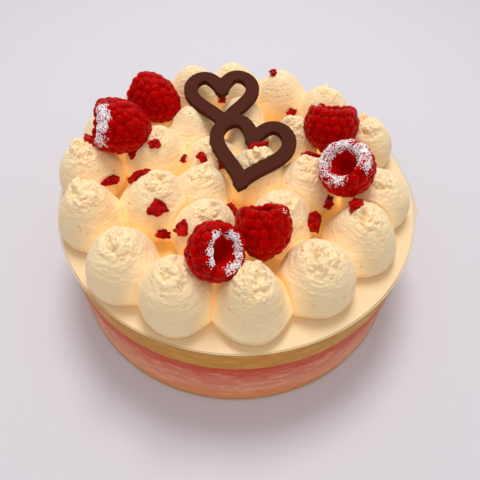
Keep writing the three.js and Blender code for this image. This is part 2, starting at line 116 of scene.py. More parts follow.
# Each flake: its mound, bearing from the mound's middle, how far up, length, width, turn,
# how much wider its far end is, and how much flatter than the slope it lies.
FLAKES = (
    ("edge_05", 48, 0.92, 10, 6, 15, 0, 0.3),
    ("inner_02", -146, 0.66, 8.3, 5, -73, -0.5, 0.3),
    ("inner_02", -86, 0.88, 6.5, 5, -6, 0, 0.3),
    ("edge_05", -36, 0.46, 9.5, 4.4, -16, 0, 0.5),
    ("inner_01", 150, 0.82, 11.5, 4.4, -45, 0, 0.8),
    ("inner_01", -82, 0.71, 7.4, 8.4, 95, -0.5, 0.3),
    ("inner_01", -68, 0.27, 8.5, 5, -2, 0, 0.4),
    ("inner_03", -153, 0.66, 8.5, 6.8, 61, 0, 0.3),
    ("inner_02", -16, 0.45, 5.5, 4, -26, 0, 0.3),
    ("inner_10", -120, 0.76, 6.4, 4.5, -48, -0.2, 0.3),
    ("inner_10", -50, 0.72, 10, 6.2, 37, 0.35, 0.3),
    ("edge_08", -98, 0.79, 6.5, 4.6, -85, -0.3, 0.3),
    ("edge_09", -118, 0.50, 5.4, 4, 15, 0, 0.3),
    ("inner_03", 36, 0.58, 10, 5.5, -25, 0, 0.9),
    ("edge_10", 162, 0.93, 6, 3.4, 30, 0, 0.3),
    ("edge_10", -67, 0.37, 7, 4.3, -20, 0, 0.3),
    ("inner_08", 100, 0.90, 9.5, 4.5, 10, 0, 0.5),
    ("inner_06", 84, 0.90, 9.5, 4.5, 0, 0, 0.5),
    ("inner_06", -48, 0.38, 7.7, 4.6, 74, 0, 0.5),
    ("edge_14", 138, 0.92, 9.5, 6, 42, 0.3, 0.3),
    ("inner_05", -8, 0.48, 13, 8.5, -62, 0.35, 1.2),
)
FLAKE_CORNERS = 6
FLAKE_PROUD = 1.5
FLAKE_SUNK = 2.0
FLAKE_RINGS = ((-1, 0.5), (-1, 0.85), (-0.9, 0.97), (-0.5, 1), (0, 1), (0.5, 1), (0.85, 0.95),
               (1, 0.82), (1.06, 0.66), (1.1, 0.5), (1.14, 0.34), (1.18, 0.17))

SHEET_MIDDLE = (-5.5, 14.0, DECK + 22.3)
SHEET_TILT = math.radians(6)
SHEET_THICKNESS = 2.8
STROKE = 6.2
HEARTS = (((-2.5, 19.5), 29.0, 6.0), ((10.0, -11.5), 32.0, -12.0))
HEART_POINTS = 72
HEART_CLEFT = 2.4
HEART_TALL = 1.18

# Each lamp: its name, place, width and power in watts. The camera: how far from the middle
# of the floor, how high above it in degrees, and its last small turns.
LAMPS = (("lamp", (0, 200, 700), 260, 2.85), ("fill", (-20, -500, 420), 500, 0.38))
CAMERA_AWAY = 262.8
CAMERA_HIGH = 55.372
CAMERA_TURNS = ((-0.417, "Y"), (1.481, "X"), (1.446, "Z"))


# ---- helpers ----

def colour(code):
    """Linear RGBA of an sRGB hex colour."""
    parts = [int(code[at:at + 2], 16) / 255 for at in (0, 2, 4)]
    return [p / 12.92 if p <= 0.04045 else ((p + 0.055) / 1.055) ** 2.4 for p in parts] + [1.0]


def uneven(seed):
    """The same seemingly random number from -1 to 1 each time, for one seed."""
    wave = np.sin(np.asarray(seed) * 12.9898 + 4.1414) * 43758.5453
    return 2 * (wave - np.floor(wave)) - 1


def unit(vector):
    vector = np.asarray(vector, float)
    return vector / np.linalg.norm(vector)


def smooth(low, high, value):
    share = np.clip((value - low) / (high - low), 0, 1)
    return share * share * (3 - 2 * share)


def turned(degrees):
    """The cosine and sine of an angle in degrees."""
    return math.cos(math.radians(degrees)), math.sin(math.radians(degrees))


def turn_of(count):
    """So many even angles once round, in radians."""
    return 2 * np.pi * np.arange(count) / count


def steps_round(angle, side, across):
    """A step of 1 at each angle in the plane of two directions."""
    return np.cos(angle)[:, None] * side + np.sin(angle)[:, None] * across


def node(tree, kind, inputs=None, out=0, **settings):
    """Adds a node, sets and links its inputs, and gives back one output, or itself."""
    made = tree.nodes.new(kind)
    for name, value in settings.items():
        setattr(made, name, value)
    for name, value in (inputs or {}).items():
        if isinstance(value, bpy.types.NodeSocket):
            tree.links.new(value, made.inputs[name])
        else:
            made.inputs[name].default_value = value
    return made if out is None or not made.outputs else made.outputs[out]


def new_object(name, data):
    made = bpy.data.objects.new(name, data)
    bpy.context.scene.collection.objects.link(made)
    return made


def store(mesh, label, values):
    """A number or a direction for each point of a mesh, under a name."""
    values = np.asarray(values, float)
    kind, key = ("FLOAT_VECTOR", "vector") if values.ndim == 2 else ("FLOAT", "value")
    mesh.attributes.new(label, kind, "POINT").data.foreach_set(key, values.ravel())


def mesh_object(name, points, faces, attributes=None):
    """An object at the origin, from points in millimetres."""
    mesh = bpy.data.meshes.new(name)
    mesh.from_pydata((np.asarray(points) * MM).tolist(), [], faces)
    for label, values in (attributes or {}).items():
        store(mesh, label, values)
    mesh.shade_smooth()
    return new_object(name, mesh)


def rings_to_mesh(rings, first, last):
    """Points and faces of a closed skin: rings bottom to top, each counter-clockwise."""
    count, columns = rings.shape[:2]
    points = np.vstack([[first], rings.reshape(-1, 3), [last]])
    grid = 1 + np.arange(count * columns).reshape(count, columns)
    beside = np.roll(grid, -1, axis=1)
    quads = np.stack([grid[:-1], beside[:-1], beside[1:], grid[1:]], axis=-1).reshape(-1, 4)
    foot = np.column_stack([np.zeros(columns, int), beside[0], grid[0]])
    cap = np.column_stack([np.full(columns, len(points) - 1), grid[-1], beside[-1]])
    return points, quads.tolist() + foot.tolist() + cap.tolist()


def shaped(obj, tree, sizes):
    """Runs a tree on an object once, with the tree's named inputs set, and keeps the mesh."""
    modifier = obj.modifiers.new(tree.name, "NODES")
    modifier.node_group = tree
    for item in tree.interface.items_tree:
        if item.in_out == "INPUT" and item.name in sizes:
            modifier[item.identifier] = sizes[item.name]
    depsgraph = bpy.context.evaluated_depsgraph_get()
    mesh = bpy.data.meshes.new_from_object(
        obj.evaluated_get(depsgraph), preserve_all_data_layers=True, depsgraph=depsgraph)
    obj.modifiers.clear()
    obj.data = mesh
    return obj


def new_tree(name, sizes):
    """A geometry tree with named inputs for its sizes, and its input node's outputs."""
    tree = bpy.data.node_groups.new(name, "GeometryNodeTree")
    tree.interface.new_socket("Geometry", in_out="INPUT", socket_type="NodeSocketGeometry")
    for label, value in sizes.items():
        kind = "NodeSocketInt" if isinstance(value, int) else "NodeSocketFloat"
        socket = tree.interface.new_socket(label, in_out="INPUT", socket_type=kind)
        socket.default_value = value
    tree.interface.new_socket("Material", in_out="INPUT", socket_type="NodeSocketMaterial")
    tree.interface.new_socket("Geometry", in_out="OUTPUT", socket_type="NodeSocketGeometry")
    node(tree, "NodeGroupInput")
    return tree, tree.nodes[-1].outputs


def finish_tree(tree, geometry, material):
    """The last nodes of each tree: smooth, made real, and given its material."""
    geometry = node(tree, "GeometryNodeSetShadeSmooth", {0: geometry})
    geometry = node(tree, "GeometryNodeRealizeInstances", {0: geometry})
    geometry = node(tree, "GeometryNodeSetMaterial", {"Geometry": geometry, "Material": material})
    node(tree, "NodeGroupOutput", {0: geometry})


def coordinates(obj):
    """An object's points in millimetres."""
    flat = np.empty(3 * len(obj.data.vertices))
    obj.data.vertices.foreach_get("co", flat)
    return flat.reshape(-1, 3) / MM


def move_points(obj, points):
    obj.data.vertices.foreach_set("co", (points * MM).ravel())
    obj.data.update()


# ---- materials ----

def new_material(name):
    material = bpy.data.materials.new(name)
    material.use_nodes = True
    material.node_tree.nodes.clear()
    return material, material.node_tree


def whipped_cream():
    """Soft satin cream: light goes in through its subsurface; its crevices between mounds get
    painted warm light and a painted glow, and its pits painted amber shade.
    """
    material, tree = new_material("whipped_cream")
    # Painted shade: the hollow value marks pits and low spots between curds, which are painted
    # amber.
    pit = node(tree, "ShaderNodeAttribute", attribute_name="hollow", out="Fac")
    # Painted light: how deep each point lies in a crevice between mounds, where warm light is
    # painted in.
    near = node(tree, "ShaderNodeAttribute", attribute_name="painted_crevice_glow", out="Fac")
    deep = node(tree, "ShaderNodeAttribute", attribute_name="depth", out="Fac")
    # The base colour turns paler and warmer in the crevices: painted warm light.
    tint = node(tree, "ShaderNodeMix", {"Factor": near, 6: colour("fedeb0"), 7: colour("ffdfa6")},
                out=2, data_type="RGBA")
    # Amber in the pits and hollows: painted warm shade.
    tint = node(tree, "ShaderNodeMix", {"Factor": pit, 6: tint, 7: colour("fdc873")},
                out=2, data_type="RGBA")
    # Painted glow: the cream emits warm light in its crevices, though it is no lamp.
    through = node(tree, "ShaderNodeMath", {0: near, 1: 0.18}, operation="MULTIPLY")
    deep = node(tree, "ShaderNodeMath", {0: deep, 1: 0.6}, operation="MULTIPLY")
    surface = node(tree, "ShaderNodeBsdfPrincipled", {
        "Base Color": tint, "Roughness": 0.55, "IOR": 1.45, "Specular IOR Level": 0.35,
        "Subsurface Weight": deep, "Subsurface Radius": (1.0, 0.7, 0.45),
        "Subsurface Scale": 0.0016, "Emission Color": colour("ffd48a"),
        "Emission Strength": through})
    node(tree, "ShaderNodeOutputMaterial", {"Surface": surface})
    return material


def fruit_streaks(tree, place, wall):
    """Red fruit smeared ragged below the jelly band, and a paler, warmer foot that is a painted
    warm reflection.
    """
    height = node(tree, "ShaderNodeSeparateXYZ", {0: place}, out="Z")
    level = node(tree, "ShaderNodeMapping", {0: place, "Scale": (1, 1, 4.5)})
    smear = node(tree, "ShaderNodeTexNoise", {
        "Vector": level, "Scale": 190.0, "Detail": 7.0, "Roughness": 0.66})
    near = node(tree, "ShaderNodeMapRange", {
        "Value": height, "From Min": (jelly_bottom - 13) * MM, "From Max": jelly_bottom * MM,
        "To Min": -0.15, "To Max": 0.12})
    smear = node(tree, "ShaderNodeMath", {0: smear, 1: near}, operation="ADD")
    smear = node(tree, "ShaderNodeMapRange", {
        "Value": smear, "From Min": 0.505, "From Max": 0.535, "To Max": 0.85})
    # Painted reflection: the lowest part of the side turns paler and warmer, as if lit by warm
    # light from below.
    foot = node(tree, "ShaderNodeMapRange", {
        "Value": height, "From Min": 0.55 * jelly_bottom * MM, "From Max": 0.0, "To Max": 0.85})
    wall = node(tree, "ShaderNodeMix", {"Factor": foot, 6: wall, 7: colour("ffa864")},
                out=2, data_type="RGBA")
    return node(tree, "ShaderNodeMix", {"Factor": smear, 6: wall, 7: colour("cc3a1a")},
                out=2, data_type="RGBA")


def mousse(name, top, side, specks, streaks, deep, smeared=False):
    """Set mousse behind film: a pale top with painted warm light and a painted glow between the
    mounds, and a warmer side, by painted shade and painted warm bounce light, with dark seeds and
    cloudy streaks."""
    material, tree = new_material(name)
    place = node(tree, "ShaderNodeTexCoord", out="Object")
    # Upright faces take the side colour and level faces the top colour: lit and shaded copies of
    # one mousse, the side holding painted shade and painted warm bounce light.
    facing = node(tree, "ShaderNodeNewGeometry", out="Normal")
    upward = node(tree, "ShaderNodeSeparateXYZ", {0: facing}, out="Z")
    upward = node(tree, "ShaderNodeMapRange", {"Value": upward, "From Min": 0.3, "From Max": 0.8})
    level = node(tree, "ShaderNodeMapping", {0: place, "Scale": (1, 1, 2.6)})
    cloud = node(tree, "ShaderNodeTexNoise", {
        "Vector": level, "Scale": 120.0, "Detail": 5.0, "Roughness": 0.68})
    cloud = node(tree, "ShaderNodeMapRange", {"Value": cloud, "From Min": 0.48, "From Max": 0.62})
    wall = node(tree, "ShaderNodeMix", {"Factor": cloud, 6: colour(side), 7: colour(streaks)},
                out=2, data_type="RGBA")
    seed = node(tree, "ShaderNodeTexVoronoi", {"Vector": place, "Scale": 420.0}, out="Distance")
    seed = node(tree, "ShaderNodeMapRange", {
        "Value": seed, "From Min": 0.20, "From Max": 0.08, "To Max": 0.6})
    wall = node(tree, "ShaderNodeMix", {"Factor": seed, 6: wall, 7: colour(specks)},
                out=2, data_type="RGBA")
    if smeared:
        wall = fruit_streaks(tree, place, wall)
    # Painted light: within the ring of edge mounds the top turns warmer.
    away = node(tree, "ShaderNodeVectorMath", {0: place, 1: (1, 1, 0)}, operation="MULTIPLY")
    away = node(tree, "ShaderNodeVectorMath", {0: away}, operation="LENGTH", out="Value")
    between = node(tree, "ShaderNodeMapRange", {
        "Value": away, "From Min": 66 * MM, "From Max": 54 * MM})
    deck = node(tree, "ShaderNodeMix", {"Factor": between, 6: colour(top), 7: colour("f2c878")},
                out=2, data_type="RGBA")
    # Top colour where the face points up, side colour where it stands upright.
    tint = node(tree, "ShaderNodeMix", {"Factor": upward, 6: wall, 7: deck},
                out=2, data_type="RGBA")
    # Painted glow: the top emits warm light between the mounds, though it is no lamp.
    glow = node(tree, "ShaderNodeMath", {0: between, 1: 0.12}, operation="MULTIPLY")
    surface = node(tree, "ShaderNodeBsdfPrincipled", {
        "Base Color": tint, "Roughness": 0.45, "IOR": 1.4, "Specular IOR Level": 0.2,
        "Emission Color": colour("ffcf6c"), "Emission Strength": glow, "Subsurface Weight": 0.35,
        "Subsurface Radius": (1.0, 0.6, 0.35), "Subsurface Scale": deep})
    node(tree, "ShaderNodeOutputMaterial", {"Surface": surface})
    return material


def raspberry_skin():
    """Moist red skin over juicy flesh: deep red, darker in the folds, with a soft gloss, a painted
    pale sheen at grazing edges and a faint painted red glow.
    """
    material, tree = new_material("raspberry_skin")
    place = node(tree, "ShaderNodeTexCoord", out="Object")
    blotch = node(tree, "ShaderNodeTexNoise", {"Vector": place, "Scale": 200.0, "Detail": 2.0})
    blotch = node(tree, "ShaderNodeMapRange", {"Value": blotch, "From Min": 0.35, "From Max": 0.7})
    flesh = node(tree, "ShaderNodeMix", {
        "Factor": blotch, 6: colour("9c0001"), 7: colour("b60100")},
                 out=2, data_type="RGBA")
    # Painted sheen: edges seen at a grazing angle turn paler orange-red.
    edge = node(tree, "ShaderNodeLayerWeight", {"Blend": 0.2}, out="Facing")
    edge = node(tree, "ShaderNodeMath", {0: edge, 1: 0.07}, operation="MULTIPLY")
    flesh = node(tree, "ShaderNodeMix", {"Factor": edge, 6: flesh, 7: colour("e0452c")},
                 out=2, data_type="RGBA")
    # Painted glow: the skin emits a little red light, though it is no lamp.
    surface = node(tree, "ShaderNodeBsdfPrincipled", {
        "Base Color": flesh, "Roughness": 0.34, "IOR": 1.4, "Specular IOR Level": 0.14,
        "Specular Tint": (1.0, 0.15, 0.1, 1.0), "Subsurface Weight": 0.8,
        "Subsurface Radius": (1.0, 0.08, 0.05), "Subsurface Scale": 0.002,
        "Emission Color": colour("e00000"), "Emission Strength": 0.04})
    node(tree, "ShaderNodeOutputMaterial", {"Surface": surface})
    return material


def flake_skin():
    """Freeze-dried raspberry: deep red broken flesh with a light gloss, a brighter red in small
    random cells.
    """
    material, tree = new_material("dried_raspberry")
    place = node(tree, "ShaderNodeTexCoord", out="Object")
    cell = node(tree, "ShaderNodeTexVoronoi", {"Vector": place, "Scale": 700.0}, out="Color")
    bright = node(tree, "ShaderNodeSeparateColor", {0: cell})
    bright = node(tree, "ShaderNodeMapRange", {"Value": bright, "From Min": 0.45, "From Max": 1.0})
    flesh = node(tree, "ShaderNodeMix", {
        "Factor": bright, 6: colour("8e0204"), 7: colour("cc0c0a")},
                 out=2, data_type="RGBA")
    surface = node(tree, "ShaderNodeBsdfPrincipled", {
        "Base Color": flesh, "Roughness": 0.36, "IOR": 1.45, "Specular IOR Level": 0.2,
        "Specular Tint": (1.0, 0.3, 0.25, 1.0),
        "Subsurface Weight": 0.25,
        "Subsurface Radius": (1.0, 0.15, 0.1), "Subsurface Scale": 0.001})
    node(tree, "ShaderNodeOutputMaterial", {"Surface": surface})
    return material


def icing_sugar():
    """Fine white powder, wholly matt."""
    material, tree = new_material("icing_sugar")
    surface = node(tree, "ShaderNodeBsdfPrincipled", {
        "Base Color": colour("f7f1f2"), "Roughness": 0.8, "IOR": 1.4, "Specular IOR Level": 0.2})
    node(tree, "ShaderNodeOutputMaterial", {"Surface": surface})
    return material


def dark_chocolate():
    """Plain dark chocolate, matt with a faint bloom."""
    material, tree = new_material("dark_chocolate")
    place = node(tree, "ShaderNodeTexCoord", out="Object")
    bloom = node(tree, "ShaderNodeTexNoise", {"Vector": place, "Scale": 180.0, "Detail": 4.0})
    brown = node(tree, "ShaderNodeMix", {
        "Factor": bloom, 6: colour("451d12"), 7: colour("4f2417")},
                 out=2, data_type="RGBA")
    surface = node(tree, "ShaderNodeBsdfPrincipled", {
        "Base Color": brown, "Roughness": 0.6, "IOR": 1.45, "Specular IOR Level": 0.06})
    node(tree, "ShaderNodeOutputMaterial", {"Surface": surface})
    return material


def clear_film():
    """Thin clear acetate: what is behind shows straight through, with a gloss at low angles."""
    material, tree = new_material("clear_acetate")
    gloss = node(tree, "ShaderNodeBsdfGlossy", {"Color": (1, 1, 1, 1), "Roughness": 0.06})
    clear = node(tree, "ShaderNodeBsdfTransparent", {"Color": (0.985, 0.985, 0.985, 1)})
    share = node(tree, "ShaderNodeFresnel", {"IOR": 1.46})
    share = node(tree, "ShaderNodeMath", {0: share, 1: 0.07}, operation="MULTIPLY")
    mixed = node(tree, "ShaderNodeMixShader", {0: share, 1: clear, 2: gloss})
    node(tree, "ShaderNodeOutputMaterial", {"Surface": mixed})
    return material


def film_edge():
    """The cut edge of the acetate, which gathers light: painted as an opaque fine pale line."""
    material, tree = new_material("acetate_edge")
    surface = node(tree, "ShaderNodeBsdfPrincipled", {
        "Base Color": colour("d8c49c"), "Roughness": 0.6, "IOR": 1.46, "Specular IOR Level": 0.15})
    node(tree, "ShaderNodeOutputMaterial", {"Surface": surface})
    return material


def studio_paper():
    """The plain pale floor."""
    material, tree = new_material("studio_paper")
    surface = node(tree, "ShaderNodeBsdfPrincipled", {
        "Base Color": colour("d9d6da"), "Roughness": 0.9, "Specular IOR Level": 0.1})
    node(tree, "ShaderNodeOutputMaterial", {"Surface": surface})
    return material


CREAM = whipped_cream()
BERRY = raspberry_skin()
SUGAR = icing_sugar()


# ---- cake body and collar ----

def lathe(name, profile, sides=256):
    """A closed round body from (radius, z) pairs, bottom to top."""
    ring = steps_round(turn_of(sides), np.array([1, 0]), np.array([0, 1]))
    rings = [np.column_stack([radius * ring, np.full(sides, z)]) for radius, z in profile]
    ends = ((0, 0, profile[end][1]) for end in (0, -1))
    points, faces = rings_to_mesh(np.array(rings), *ends)
    return mesh_object(name, points, faces)


def level_faces(made):
    """Shades the level faces of a piece flat, and says which they are."""
    level = np.array([abs(face.normal.z) > 0.9 for face in made.data.polygons])
    made.data.polygons.foreach_set("use_smooth", ~level)
    return level


def layer(node_name, bottom, top, material):
    """One full-width layer of the cake, with a hair of rounding on its rims."""
    wide, rim = CAKE_RADIUS, CAKE_RADIUS - RIM_EASE
    profile = [(wide - 3, bottom), (rim, bottom), (wide, bottom + RIM_EASE)]
    profile += [(wide, bottom + share * (top - bottom)) for share in np.linspace(0.1, 0.9, 5)]
    profile += [(wide, top - RIM_EASE), (rim, top), (wide - 3, top)]
    made = lathe(node_name + "_look", profile)
    made.data.materials.append(material)
    level_faces(made)
    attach(made, "root")
    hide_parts(node_name)


vanilla_bottom = DECK - VANILLA_DEPTH
jelly_bottom = vanilla_bottom - JELLY_DEPTH
# Each layer: top, side, seeds, streaks. The sides are warmer and more saturated than the tops, and
# darker on the vanilla: painted shade and painted warm bounce light.
layer("vanilla_mousse", vanilla_bottom, DECK,
      mousse("vanilla_mousse", "efd4a9", "d08c28", "5e3414", "dea23c", 0.002))
layer("raspberry_jelly", jelly_bottom, vanilla_bottom,
      mousse("raspberry_jelly", "b5402c", "d43a0c", "8a2414", "e24a14", 0.001))
layer("raspberry_mousse", 0.0, jelly_bottom,
      mousse("raspberry_mousse", "c98a72", "df7244", "a83c14", "f29e72", 0.0008, smeared=True))


def collar():
    """The strip of film: its outer end laps over its start and lifts."""
    inner = CAKE_RADIUS + FILM_GAP
    step = 360 / 256
    bearing = np.arange(-180, 180, step)
    far = np.all([np.abs(bearing - end) > 0.6 * step for end in (LAP_FROM, LAP_TO)], axis=0)
    bearing = np.sort(np.append(bearing[far], [LAP_FROM - 0.1, LAP_FROM, LAP_TO, LAP_TO + 0.1]))
    lifted = np.clip((LAP_TO - bearing) / (LAP_TO - LAP_FROM), 0, 1)
    lapped = (bearing >= LAP_FROM) & (bearing <= LAP_TO)
    outer = inner + FILM_WALL + np.where(lapped, FILM_WALL + LAP_CURL * lifted ** 2, 0)
    angle = np.radians(bearing)
    top = DECK + FILM_RISE
    loops = []
    for radius, z in ((inner, FILM_LIFT), (outer, FILM_LIFT), (outer, top), (inner, top)):
        loops.append(np.column_stack([
            radius * np.cos(angle), radius * np.sin(angle), np.full(len(angle), z)]))
    count = len(angle)
    grid = np.arange(4 * count).reshape(4, count)
    below, beside = np.roll(grid, -1, axis=0), np.roll(grid, -1, axis=1)
    quads = np.stack([grid, beside, np.roll(below, -1, axis=1), below], axis=-1).reshape(-1, 4)
    made = mesh_object("collar_look", np.vstack(loops), quads.tolist())
    made.data.materials.append(clear_film())
    made.data.materials.append(film_edge())
    made.data.polygons.foreach_set("material_index", level_faces(made).astype(int))
    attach(made, "root")
    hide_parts("clear_collar")


collar()


# ---- what presses into the cream ----

def berry_radius(share):
    low = np.clip(share / BERRY_WIDEST, 0, 1)
    high = np.clip((share - BERRY_WIDEST) / (1 - BERRY_WIDEST), 0, 1)
    return np.where(share < BERRY_WIDEST, (1 - (1 - low) ** 1.9) ** 0.66, 1 - 0.17 * high ** 2.5)


def berry_axes(opens):
    along = unit(opens)
    side = unit(np.cross((0.3, 0.2, 0.9), along))
    return along, side, np.cross(along, side)


def in_berry(points, berry, clear=0.5):
    """Which points lie in a berry's plain skin, moved outward by clear."""
    at, opens, radius, length = berry
    along = unit(opens)
    rel = points - (np.asarray(at) - BERRY_BACK * length * along)
    height = rel @ along
    away = np.linalg.norm(rel - height[..., None] * along, axis=-1)
    reach = radius * berry_radius(np.clip(height / length, 0, 1)) + clear
    return (height > -clear) & (height < length + clear) & (away < reach)


def heart_line(heart, count=HEART_POINTS):
    """One heart's line, counter-clockwise from its cleft, in the sheet's own plane."""
    at, width, turn = heart
    t = 2 * np.pi * (np.arange(count) + 0.5) / count
    x = -16 * np.sin(t) ** 3
    lobes = 13 * np.cos(t) - 5 * np.cos(2 * t) - 2 * np.cos(3 * t) - np.cos(4 * t)
    cleft = np.where(np.cos(t) > 0, HEART_CLEFT * np.exp(-(x / 5) ** 2), 0)
    points = np.column_stack([x, HEART_TALL * (lobes - cleft + 2.5)]) * width / 32
    c, s = turned(turn)
    return points @ np.array([[c, s], [-s, c]]) + at


HEART_LINES = [heart_line(heart) for heart in HEARTS]


def in_hearts(points, clear=0.3):
    """Which points lie in the chocolate, moved outward by clear."""
    rel = points - np.asarray(SHEET_MIDDLE)
    c, s = math.cos(SHEET_TILT), math.sin(SHEET_TILT)
    flat = np.stack([rel[..., 0], rel[..., 1] * c + rel[..., 2] * s], axis=-1)
    height = rel[..., 2] * c - rel[..., 1] * s
    inside = np.abs(height) < SHEET_THICKNESS / 2 + clear
    near = np.zeros(height.shape, bool)
    for line in HEART_LINES:
        apart = np.linalg.norm(flat[inside][:, None] - line[None, ::2], axis=-1).min(axis=1)
        near[inside] |= apart < STROKE / 2 + clear
    return inside & near


def drawn_in(points, core, inside, middle, reach, steps=56):
    """Points beyond a body, seen from the core, are drawn in to where they meet it."""
    ray = points - core
    share = np.clip(ray @ (middle - core) / np.maximum((ray ** 2).sum(axis=1), 1e-9), 0, 1)
    near = np.linalg.norm(core + share[:, None] * ray - middle, axis=1) < reach
    if not near.any():
        return points
    ray = ray[near]
    shares = np.linspace(0, 1, steps)
    hit = inside(core + shares[None, :, None] * ray[:, None])
    blocked = hit.any(axis=1)
    first = np.argmax(hit, axis=1)
    high = shares[first]
    low = shares[np.maximum(first - 1, 0)]
    for _ in range(7):
        half = 0.5 * (low + high)
        struck = inside(core + half[:, None] * ray)
        high = np.where(struck, half, high)
        low = np.where(struck, low, half)
    moved = points.copy()
    moved[near] = core + np.where(blocked, low, 1.0)[:, None] * ray
    return moved


# ---- piped cream ----

def mound_radius(share, slim=0.0):
    low = np.clip(share / MOUND_BELLY, 0, 1)
    high = np.clip((share - MOUND_BELLY) / (1 - MOUND_BELLY), 0, 1)
    foot = MOUND_FOOT + (1 - MOUND_FOOT) * np.sin(0.5 * np.pi * low)
    slender = 1 - slim * np.sin(np.pi * high ** 0.8)
    return np.where(share < MOUND_BELLY, foot, slender * np.clip(1 - high ** 1.8, 0, 1) ** 0.62)


def mound_middle(mound, share):
    x, y, _, height, lean = mound[:5]
    share = np.asarray(share, float)
    lean_x, lean_y = (part * share ** 2 for part in lean)
    return np.stack([x + lean_x, y + lean_y, DECK + share * height], axis=-1)


def neighbours(mound):
    """The mounds close enough to touch one, each with the step to it and how far off it is."""
    for other in MOUNDS.values():
        step = np.subtract(other[:2], mound[:2])
        distance = np.hypot(*step)
        if 0.01 < distance < mound[2] + other[2] + 5:
            yield other, step, distance


def press_planes(mound):
    """Upright planes halfway to each neighbour: a mound presses flat against them."""
    planes = []
    for other, step, distance in neighbours(mound):
        share = (distance ** 2 + mound[2] ** 2 - other[2] ** 2) / (2 * distance)
        toward = step / distance
        planes.append((toward, share + PRESS_OVERLAP + toward @ mound[:2]))
    return planes


def press_in(points, inside, planes):
    """Points beyond a plane are drawn back to it, toward a place inside."""
    share = np.ones(len(points))
    for toward, limit in planes:
        start = inside[..., :2] @ toward
        end = points[:, :2] @ toward
        over = end > limit
        to_plane = (limit - start) / np.where(over, end - start, 1)
        share = np.where(over, np.minimum(share, to_plane), share)
    return inside + share[:, None] * (points - inside)


def mound_base(name, mound, seed, rings, columns):
    """The smooth kiss of cream, with how torn it is at each point."""
    _, _, radius, height, _, torn_from, slim = mound
    share = np.concatenate([np.linspace(0, 0.9, 400), 1 - 0.1 * np.linspace(1, 0, 400)[1:] ** 3])
    line = np.column_stack([radius * mound_radius(share, slim), height * share])
    steps = np.linalg.norm(np.diff(line, axis=0), axis=1)
    steps *= 0.55 + 0.75 * smooth(0.25, 0.8, share[1:])
    run = np.append(0, np.cumsum(steps))
    share = np.interp(np.linspace(0, run[-1], rings + 1)[:-1], run, share)
    angle = turn_of(columns)
    oval = 1 + MOUND_UNEVEN * np.sin(2 * angle + seed) * uneven(seed)
    reach = radius * mound_radius(share, slim)[:, None] * oval
    ring = np.stack([np.cos(angle), np.sin(angle)], -1)
    points = mound_middle(mound, share)[:, None] + np.concatenate(
        [reach[..., None] * ring, np.zeros((rings, columns, 1))], -1)
    points, faces = rings_to_mesh(points, mound_middle(mound, 0), mound_middle(mound, 1))
    level = (points[:, 2] - DECK) / height
    rel = points - mound_middle(mound, np.clip(level, 0, 1))
    away = np.hypot(rel[:, 0], rel[:, 1])
    facing = -rel[:, 1] / np.maximum(away, 1)
    border = torn_from + 0.06 * (1 - facing) + 0.05
    torn = 0.5 + (level - border) / 0.22
    swollen = 1 + merge(points, mound) / np.maximum(away, 4)
    points[:, :2] += rel[:, :2] * (swollen - 1)[:, None]
    bearing = np.array([math.cos(seed), 0.6 + math.sin(seed)])
    peak = mound_middle(mound, 1)[:2] + PEAK_ASIDE * bearing
    near = np.linalg.norm(points[:, :2] - peak, axis=1)
    ragged = 1 - 0.7 * smooth(0.82, 0.90, torn_from)
    knob = PEAK_HEIGHT * ragged * np.exp(-(near / PEAK_RADIUS) ** 2)
    points[:, 2] += smooth(0.7, 0.9, level) * knob
    return mesh_object(name, points, faces, {
        "torn": np.clip(torn, 0, 1), "crown": ragged * smooth(0.72, 0.95, level)})


def merge(points, mound):
    """How far cream swells out where a neighbour is close, so that mounds run together."""
    most = np.zeros(len(points))
    for other, _, _ in neighbours(mound):
        share = np.clip((points[:, 2] - DECK) / other[3], 0, 1)
        middle = mound_middle(other, share)
        apart = np.linalg.norm(points[:, :2] - middle[:, :2], axis=1)
        outside = apart - other[2] * mound_radius(share, other[6])
        apart = np.hypot(outside, points[:, 2] - middle[:, 2])
        most = np.maximum(most, np.clip(1 - apart / MERGE_REACH, 0, 1) ** 2)
    return MERGE_SWELL * MERGE_REACH * most


